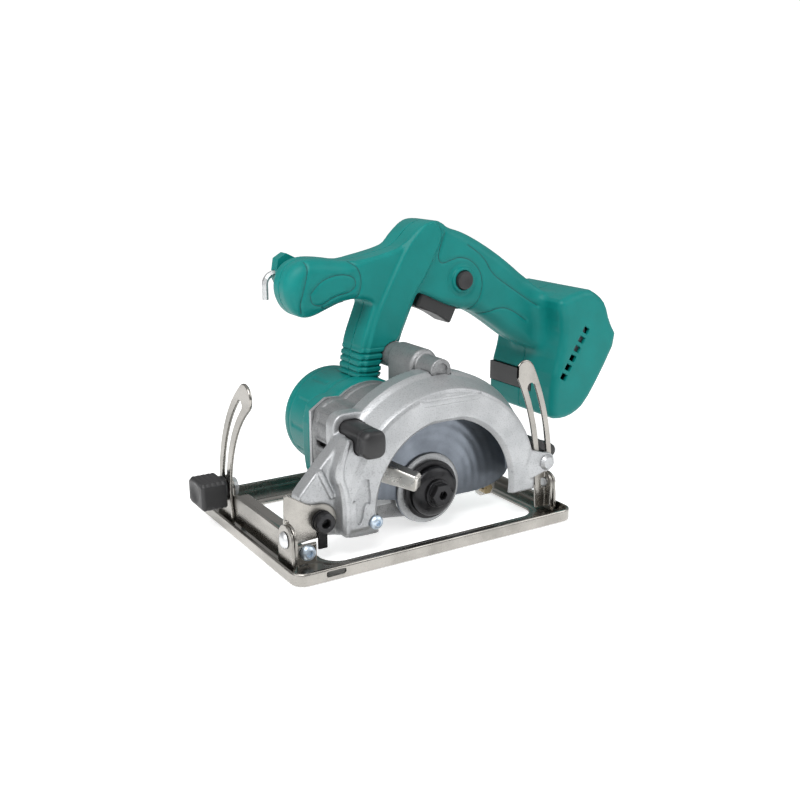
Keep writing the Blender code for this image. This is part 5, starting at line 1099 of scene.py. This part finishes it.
# ---------------------------------------------------------------- motor and gear case
@dataclass
class Drive:
    """Cast gear case with the fixing tube, and the moulded motor housing."""

    radius: float = 35.0
    wall: float = 3.0
    cell: float = 0.85

    def case_outline(self) -> list:
        """Returns the case's outline: a foot round the spindle, a boxed front and a round top."""
        return (arc(SPINDLE, 22.6, 188, 292, 24) + [(22, 9.0), (42, 22.0), (49, 40.0), (49, 77.0), (38, 84.5)]
                + arc(MOTOR, self.radius, 52, 160, 40))

    def case_field(self, x: Array, y: Array, z: Array) -> Array:
        """Returns the gear case: a ribbed box with its cavity, the spindle boss and the tube.

        Args:
            x: Coordinates along the cutting direction, in millimetres.
            y: Coordinates across the saw, in millimetres.
            z: Heights, in millimetres.

        Returns:
            The signed distance in millimetres, negative inside.
        """
        flat = outline_distance(x, z, softened(self.case_outline(), 1))
        case = rounded(flat, slab(y, -3.0, 31.7), 2.6)
        flange = rounded(flat, slab(y, -3.0, 1.6), 0.6)
        ribs = rounded(np.abs((z - 29.5) % 9.0 - 4.5) - 0.9, np.maximum(slab(y, 1.0, 29.0), -flat - 3.0), 0.4)
        ribs = np.maximum(ribs, np.maximum(flat + 0.05, 40.0 - x))
        body = joined(np.minimum(case + 0.9 * step(y, 1.0, 3.0) * (1 - step(y, 28, 30)), flange), ribs, 0.8)
        horn = [(TUBE[0] + 10.4, 84)] + arc(TUBE, 10.4, 0, 180, 24) + [(TUBE[0] - 12.4, 80)]
        body = joined(body, plate(x, z, horn, -3.0, 25.7, y, 1.5), 2.5)
        r = disc(x, z, TUBE, 0.0)
        body = joined(body, rounded(r - 9.0, slab(y, -22.5, 26.7), 0.8), 2.0)
        body = joined(body, rounded(r - 7.5, slab(y, 24.7, 45.5), 0.9), 1.2)
        body = carved(body, np.maximum(r - 4.6, 44.0 - y), 0.4)
        s = disc(x, z, SPINDLE, 0.0)
        body = joined(body, rounded(s - 21.0, slab(y, 30.7, 36.1), 0.5), 1.0)
        inner = flat + 3.5
        body = carved(body, np.maximum(inner, slab(y, -4.0, 22.7)), 0.3)
        body = carved(body, np.maximum(s - 13.3, slab(y, 21.7, 34.6)))
        body = carved(body, np.maximum(s - 9.0, slab(y, 33.1, 37.1)))
        body = carved(body, rounded(slab(z, 55.5, 59.5), np.maximum(slab(y, 2, 26), 45.6 - x), 0.3), 0.4)
        return carved(body, np.maximum(disc(x, z, (42.1, 70.9), 2.5), slab(y, 17.7, 32.7)))

    def housing_field(self, x: Array, y: Array, z: Array) -> Array:
        """Returns the motor housing: a domed cup with ribs and vents, and a flange that fits the case.

        Args:
            x: Coordinates along the cutting direction, in millimetres.
            y: Coordinates across the saw, in millimetres.
            z: Heights, in millimetres.

        Returns:
            The signed distance in millimetres, negative inside.
        """
        end, face, r = -66.0, -6.6, disc(x, z, MOTOR, 0.0)
        bulge = 0.9 * np.exp(-((y + 22.5) / 1.6) ** 2) + 0.7 * np.exp(-((y + 54.0) / 1.2) ** 2)
        cup = rounded(r - self.radius, slab(y, end, face + 4), 8.0)
        cup = np.maximum(cup, y - face)
        flat = outline_distance(x, z, softened(self.case_outline(), 1))
        skirt = rounded(flat, slab(y, face - 10, face), 0.5)
        skirt = rounded(skirt, face - 10.0 - y, 1.0)
        shape = joined(cup, skirt, 5.0)
        shape = shape + 0.6 * bulge
        turn = np.arctan2(z - MOTOR[1], x - MOTOR[0])
        flutes = np.maximum(np.cos(turn * 12), 0) ** 6 * 0.8 * step(-y, 28.0, 31.0) * (1 - step(-y, 48.0, 51.0))
        shape = shape + flutes * step(r, 30.0, 34.0)
        hollow = rounded(r - self.radius + self.wall, np.maximum(end + self.wall - y, y - 5.0), 6.0)
        shape = carved(shape, hollow, 0.3)
        shape = carved(shape, np.maximum(flat + self.wall, slab(y, face - 7, face + 3)), 0.3)
        cupped = np.maximum(np.abs(r - 11.15) - 1.35, slab(y, end + 2, end + 10))
        shape = joined(shape, cupped, 0.5)
        spoke = (turn - math.pi / 10) % (math.pi / 5)
        off = np.abs(spoke - math.pi / 10) * r
        vent = rounded(off - 1.7, slab(r, 16.0, 26.0), 1.2)
        return carved(shape, np.maximum(vent, slab(y, end - 2, end + 5)), 0.4)

    def build(self) -> None:
        """Makes the case and the housing."""
        Piece("drive_case", "saw", ("gear_case",), "dark_cast", DARK_CAST).grow(
            self.case_field, (-37, -23, 3), (51, 47, 117), self.cell)
        Piece("motor_cup", "saw", ("motor_housing",), "teal_plastic", TEAL).grow(
            self.housing_field, (-37, -67, 3), (51, -6, 93), self.cell)
        retouch(["motor_bracket"], CAST)


# ---------------------------------------------------------------- handle
@dataclass
class Handle:
    """Two moulded shells that form the column, the front grip, the main handle and the dock."""

    half: float = 16.5
    dock_half: float = 39.4
    wall: float = 3.0
    middle: float = HANDLE_MIDDLE
    frame_line: Array = field(init=False)
    dock_line: Array = field(init=False)
    strap_line: Array = field(init=False)
    seams: dict[str, list] = field(init=False)

    def __post_init__(self) -> None:
        """Works out the outlines and the lines of the seams."""
        front = [(7.5, 103), (4.5, 117), (-2, 133), (-5, 141), (2, 144.5), (13, 144.2), (27, 139.5), (38, 135),
                 (46, 134.6), (53, 139), (57.5, 147), (58.6, 156), (55.5, 165.5), (49, 171), (40, 173),
                 (28, 172), (13, 169.2), (-4, 171.5), (-24, 176)]
        crown = [(-30, 180.5), (-37, 187.5), (-44, 192), (-52, 193.2), (-58.5, 191.5), (-64, 187.5)]
        back = [(-78, 184), (-91, 177.8), (-107, 168.5), (-123, 157.5), (-139, 144.8), (-152, 131), (-152, 104),
                (-142, 96), (-132, 99.2), (-122, 105), (-106, 116.5), (-91, 126), (-80, 129.6)]
        inner = [(-73, 130.0), (-43.3, 144.4), (-38.5, 145), (-36, 140), (-30.5, 128), (-26.8, 120)]
        saddle = arc(MOTOR, 35.4, 115, 85, 12)
        seat = arc(TUBE, 9.4, 0, 128, 14)
        rim = np.vstack((front, crown, back, inner))
        self.frame_line = np.vstack((saddle, softened(rim, 2, False), seat[::-1]))
        self.dock_line = softened([(-139, 54), (-140, 75), (-146, 95), (-147.5, 115), (-143, 131), (-147, 135.5),
                                   (-171, 141), (-182, 135), (-189, 128), (-193.5, 115), (-202, 102),
                                   (-186.5, 74.5), (-172, 53.5), (-162, 47.5), (-152, 45.2), (-141, 46.5)], 1)
        strap = [(9.0, 88), (7.0, 105), (-1.5, 134), (-14.0, 158), (-27, 181), (-38, 192), (-45, 196), (-53, 196),
                 (-59, 189), (-60.5, 181), (-48, 157), (-35, 139), (-31.0, 128), (-24, 112), (-12, 104), (-10.5, 88)]
        self.strap_line = softened(strap, 1)
        self.seams = {
            "pad": [(-60.1, 185.2), (-56.1, 175.3), (-54.3, 167.6), (-57.6, 163.3), (-65.0, 165.7), (-72.8, 167.5),
                    (-82.7, 164.6), (-91.0, 155.9), (-92.7, 144.1), (-87.2, 132.8), (-80.7, 127.4)],
            "upper": [(-79.0, 175.5), (-93.5, 166.1), (-100.2, 154.0), (-114.7, 144.6), (-141.4, 127.8)],
            "lower": [(-84.3, 126.2), (-94.6, 125.3), (-107.7, 129.6), (-118.3, 127.0), (-132.5, 117.6)],
            "oval": [(42.9, 150.6), (35.6, 158.5), (23.5, 162.3), (11.3, 160.5), (8.9, 154.3), (13.9, 149.9),
                     (26.2, 148.1), (34.7, 142.4), (41.9, 144.1), (42.9, 150.6)],
            "bulb_front": [(47.0, 172.9), (43.6, 169.6), (44.9, 162.4), (47.5, 153.1), (50.1, 144.8), (47.9, 138.2)],
            "bulb_rear": [(13.6, 169.7), (7.5, 165.0), (5.1, 156.2), (7.7, 146.6), (11.5, 143.2)],
            "bulb_low": [(34.7, 142.4), (32.4, 140.0), (25.1, 142.6), (11.5, 143.6)],
        }

    def outer(self, x: Array, s: Array, z: Array) -> Array:
        """Returns the outer form of one half.

        Args:
            x: Coordinates along the cutting direction, in millimetres.
            s: Distances out from the split plane, in millimetres.
            z: Heights, in millimetres.

        Returns:
            The signed distance in millimetres, negative inside.
        """
        flat = outline_distance(x, z, self.frame_line)
        to_rear = step(-x, 52.0, 84.0)
        to_front = step(x, -2.0, 22.0) * step(z, 120, 134)
        radius = 3.0 + 6.5 * to_rear * (1 - step(-x, 128.0, 145.0)) + 6.0 * to_front
        body = rounded(flat, s - self.half + STRAP_PROUD, radius)
        strap = outline_distance(x, z, self.strap_line)
        proud = np.maximum(rounded(strap, s - self.half, 1.2), (strap + s - self.half + STRAP_BEVEL) * math.sqrt(0.5))
        column = joined(body, np.maximum(proud, flat), 0.5)
        dock = rounded(outline_distance(x, z, self.dock_line), s - self.dock_half, 5.5)
        shape = joined(column, dock, 11.0)
        boss = disc(x, z, LOCK_OFF, 0.0)
        return joined(shape, rounded(boss - 9.0, s - self.half - 0.2, 0.9), 1.0)

    def detailed(self, x: Array, s: Array, z: Array, shape: Array) -> Array:
        """Returns the outer form with its grooves and ribs.

        Args:
            x: Coordinates along the cutting direction, in millimetres.
            s: Distances out from the split plane, in millimetres.
            z: Heights, in millimetres.
            shape: The plain outer form.

        Returns:
            The signed distance in millimetres, negative inside.
        """
        on_side = step(s, 7.0, 12.0)
        for line in self.seams.values():
            near = path_distance(x, z, softened(line, 2, False))
            shape = shape + 0.75 * np.exp(-(near / 0.85) ** 2) * on_side
        dish = disc(x, z, LOCK_OFF, 0.0)
        shape = shape + 0.5 * np.exp(-((dish - 11.6) / 0.8) ** 2) * on_side
        foot = step(z, 89.5, 91.0) * (1 - step(z, 110.5, 112.5)) * step(x, -12.5, -10.0)
        slots = np.maximum(np.cos((z - 90.5) * 2 * np.pi / 4.3), 0) ** 2
        return shape + 1.5 * slots * foot

    def shell(self, near: bool) -> Field:
        """Returns the field of one shell: outer form less its hollows, bay, ways and vents.

        Args:
            near: Whether it is the shell on the blade side.

        Returns:
            The shell's field.
        """
        side = 1.0 if near else -1.0

        def shape(x: Array, y: Array, z: Array) -> Array:
            """The shell's field.

            Args:
                x: Coordinates along the cutting direction, in millimetres.
                y: Coordinates across the saw, in millimetres.
                z: Heights, in millimetres.

            Returns:
                The signed distance in millimetres, negative inside.
            """
            s = (y - self.middle) * side
            form = self.outer(x, s, z)
            solid = self.detailed(x, s, z, form)
            a, n = turned_axes(x, z, (-186.5, 74.5), -60.0)
            solid = carved(solid, np.maximum(form + self.wall, 11.8 - n), 0.3)
            bay = rounded(np.maximum(slab(a, -25.0, 20.0), slab(n, -20.0, 9.0)), s - 28.0, 1.0)
            solid = carved(solid, bay, 0.6)
            t, u = turned_axes(x, z, (-39.0, 135.0), 206.2)
            way = np.maximum(np.maximum(slab(t, -0.5, 33.5), slab(u, -20.0, -4.0)), s - 10.5)
            solid = carved(solid, way, 0.3)
            solid = carved(solid, np.maximum(disc(x, z, LOCK_OFF, 6.8), -s - 2.0), 0.4)
            low, high = max(self.middle if near else -90.0, -64.0) - 0.3, min(60.0 if near else self.middle, -14.0)
            grille = np.maximum(np.maximum(slab(x, -147.3, -135.3), slab(z, 62.7, 77.8)), slab(y, low, high + 0.3))
            solid = carved(solid, grille, 0.4)
            if near:
                v, w = turned_axes(x, z, (-168.5, 110.5), -59.04)
                cell = np.abs(v - 7.58 * np.clip(np.round(v / 7.58), 0, 5))
                vent = rounded(np.maximum(cell - 2.3, np.abs(w) - 2.7), self.dock_half - self.wall - 1.0 - s, 0.2)
                solid = carved(solid, vent, 0.3)
            else:
                for centre in ((44.0, 146.0), (-2.0, 152.0), (-50.0, 184.0), (-107.0, 148.0)):
                    r = disc(x, z, centre, 0.0)
                    solid = carved(solid, np.maximum(r - 3.5, self.half - 1.6 - s), 0.3)
                    solid = carved(solid, np.maximum(r - 1.8, self.half - 5.0 - s))
            return np.maximum(solid, 0.15 - s)

        return shape

    def trigger_field(self, x: Array, y: Array, z: Array) -> Array:
        """Returns the trigger: a block with a hollowed front face and round edges.

        Args:
            x: Coordinates along the cutting direction, in millimetres.
            y: Coordinates across the saw, in millimetres.
            z: Heights, in millimetres.

        Returns:
            The signed distance in millimetres, negative inside.
        """
        t, u = turned_axes(x, z, (-39.0, 135.0), 206.2)
        block = rounded(box2(t, u, (0.0, -13.5), (33.0, 0.0), 1.8), np.abs(y - self.middle) - 10.0, 2.6)
        curve = np.hypot(t - 17.0, u - 56.5) - 58.0
        return carved(block, curve, 1.0)

    def seam_lines(self) -> tuple[Array, Array]:
        """Returns thin dark beads of painted shade that lie in the grooves: a round section carried along each seam.

        Returns:
            Vertices and quads.
        """
        meshes, total = [], 0
        for line in self.seams.values():
            path = softened(line, 3, False)
            spans = np.r_[0, np.cumsum(np.hypot(*np.diff(path, axis=0).T))]
            even = np.linspace(0, spans[-1], max(int(spans[-1] / 0.8), 8))
            x, z = np.interp(even, spans, path[:, 0]), np.interp(even, spans, path[:, 1])
            low, high = np.full_like(x, 3.0), np.full_like(x, 46.0)
            for _ in range(24):
                mid = (low + high) / 2
                within = self.detailed(x, mid, z, self.outer(x, mid, z)) < 0
                low, high = np.where(within, mid, low), np.where(within, high, mid)
            centre = np.stack((x, low + self.middle + 0.02, z), 1)
            centre = centre[low > 6.0]
            along = np.gradient(centre, axis=0)
            along /= np.linalg.norm(along, axis=1, keepdims=True)
            out = np.cross(along, (0.0, 1.0, 0.0))
            out /= np.maximum(np.linalg.norm(out, axis=1, keepdims=True), 1e-6)
            up = np.cross(along, out)
            turn = np.linspace(0, 2 * np.pi, BEAD_SIDES, endpoint=False)
            size = np.full(len(centre), BEAD_RADIUS)
            size[[0, -1]] = 0.0
            ring = out[:, None] * np.cos(turn)[None, :, None] + up[:, None] * np.sin(turn)[None, :, None]
            points = centre[:, None] + ring * size[:, None, None]
            quads = ring_quads(len(centre), BEAD_SIDES)[:, [0, 3, 2, 1]]
            meshes.append((points.reshape(-1, 3), quads + total))
            total += len(centre) * BEAD_SIDES
        return np.vstack([p for p, _ in meshes]), np.vstack([q for _, q in meshes])

    def build(self) -> None:
        """Makes the shells, the trigger, the button, the grille and the stored key with its clip."""
        Piece("shell_near", "saw", ("handle_shell_near",), "teal_plastic", TEAL).grow(
            self.shell(True), (-203, -27.0, 44), (60, 13.5, 194), 0.9)
        Piece("shell_far", "saw", ("handle_shell_far",), "teal_plastic", TEAL).grow(
            self.shell(False), (-203, -67.5, 44), (60, -27.0, 194), 1.05)
        Piece("squeeze_trigger", "trigger_group", ("trigger",), "black_plastic", BLACK).grow(
            self.trigger_field, (-82, -38, 116), (-36, -16, 150), 0.5)
        low, high = -46.1, -7.9
        button = [(0, high - 0.5), (3.6, high - 0.45), (4.6, high - 0.1), (5.4, high), (6.1, high - 0.3),
                  (6.4, high - 1.0), (6.4, low + 1.0), (6.1, low + 0.3), (5.4, low), (4.6, low + 0.1),
                  (3.6, low + 0.45), (0, low + 0.5)]
        Piece("cross_button", "lock_off", ("lock_off_button",), "black_plastic", BLACK).turn(button, LOCK_OFF)
        retouch(["dock_grille", "switch_body", "terminal_block"], BLACK)
        retouch(["control_board"], POTTING)
        retouch(["trigger_spring", "hex_key"], STEEL)
        retouch(["key_clip"], TEAL)
        retouch(["handle_screw_1", "handle_screw_2", "handle_screw_3", "handle_screw_4"], BLACK_STEEL)

    def dress(self) -> None:
        """Lays the dark lines of painted shade in the seams."""
        points, faces = self.seam_lines()
        # The seam beads are painted shade in the grooves between the shells.
        Piece("shell_seams", "saw", (), None, TEAL_SEAM_SHADE).make(points, faces)


# ---------------------------------------------------------------- studio
@dataclass
class Studio:
    """Pale floor, three soft lights and the camera."""

    camera: tuple[float, float, float] = (0.37175, 0.5578, 0.250)
    direction: tuple[float, float, float] = (-0.510, -0.821, -0.256)
    lens: float = 45.45

    def light(self, name: str, place: tuple[float, float, float], size: float, power: float) -> None:
        """Adds a square area light that faces the saw.

        Args:
            name: Its name.
            place: Where it stands, in metres.
            size: The length of its side, in metres.
            power: Its power in watts.
        """
        data = bpy.data.lights.new(name, "AREA")
        data.size, data.energy = size, power
        lamp = bpy.data.objects.new(name, data)
        lamp.location = place
        lamp.rotation_euler = (Vector((0, 0, 0.08)) - Vector(place)).to_track_quat("-Z", "Y").to_euler()
        bpy.context.scene.collection.objects.link(lamp)

    def sky(self, tree: bpy.types.NodeTree) -> None:
        """Lights the scene with a dim sky that is bright overhead, and shows white behind the saw.

        Args:
            tree: The world's node tree.
        """
        ground = tree.nodes["Background"]
        place = tree.nodes.new("ShaderNodeTexCoord")
        split = tree.nodes.new("ShaderNodeSeparateXYZ")
        ramp = tree.nodes.new("ShaderNodeMapRange")
        for label, value in (("From Min", -0.1), ("From Max", 0.8), ("To Min", 0.11), ("To Max", 0.62)):
            ramp.inputs[label].default_value = value
        rays = tree.nodes.new("ShaderNodeLightPath")
        pick = tree.nodes.new("ShaderNodeMix")
        pick.inputs["B"].default_value = 1.05
        tree.links.new(place.outputs["Generated"], split.inputs[0])
        tree.links.new(split.outputs["Z"], ramp.inputs["Value"])
        tree.links.new(rays.outputs["Is Camera Ray"], pick.inputs["Factor"])
        tree.links.new(ramp.outputs[0], pick.inputs["A"])
        tree.links.new(pick.outputs[0], ground.inputs["Strength"])
        ground.inputs["Color"].default_value = (1.0, 1.0, 1.0, 1.0)

    def build(self) -> None:
        """Makes the floor, the lights, the world and the camera."""
        span = np.linspace(-3.0, 3.0, 13)
        x, y = np.meshgrid(span, span, indexing="ij")
        points = np.stack((x.ravel(), y.ravel(), np.full(x.size, -0.0005)), 1)
        index = np.arange(x.size).reshape(x.shape)
        quads = np.stack((index[:-1, :-1].ravel(), index[1:, :-1].ravel(), index[1:, 1:].ravel(),
                          index[:-1, 1:].ravel()), 1)
        mesh = bpy.data.meshes.new("floor")
        mesh.from_pydata(points.tolist(), [], quads.tolist())
        mesh.materials.append(FLOOR.material())
        floor = bpy.data.objects.new("floor", mesh)
        bpy.context.scene.collection.objects.link(floor)
        self.light("key_light", (0.55, 0.45, 1.0), 0.7, 9.8)
        self.light("side_light", (-0.85, 0.7, 0.75), 0.9, 5.2)
        self.light("front_light", (1.0, 0.1, 0.5), 0.6, 2.6)
        world = bpy.data.worlds.new("studio")
        world.use_nodes = True
        self.sky(world.node_tree)
        scene = bpy.context.scene
        scene.world = world
        scene.view_settings.view_transform = "Standard"
        data = bpy.data.cameras.new("camera")
        data.lens, data.sensor_width = self.lens, 36.0
        camera = bpy.data.objects.new("camera", data)
        camera.location = self.camera
        camera.rotation_euler = Vector(self.direction).to_track_quat("-Z", "Y").to_euler()
        scene.collection.objects.link(camera)
        scene.camera = camera


def main() -> None:
    """Builds every sub-assembly in order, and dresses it."""
    logging.basicConfig(level=logging.INFO)
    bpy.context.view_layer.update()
    base, handle = Base(), Handle()
    base.build()
    base.dress()
    TiltFrame().build()
    DepthKnob().build()
    Guards().build()
    Arbor().build()
    Drive().build()
    handle.build()
    handle.dress()
    Studio().build()


if __name__ == "__main__":
    main()
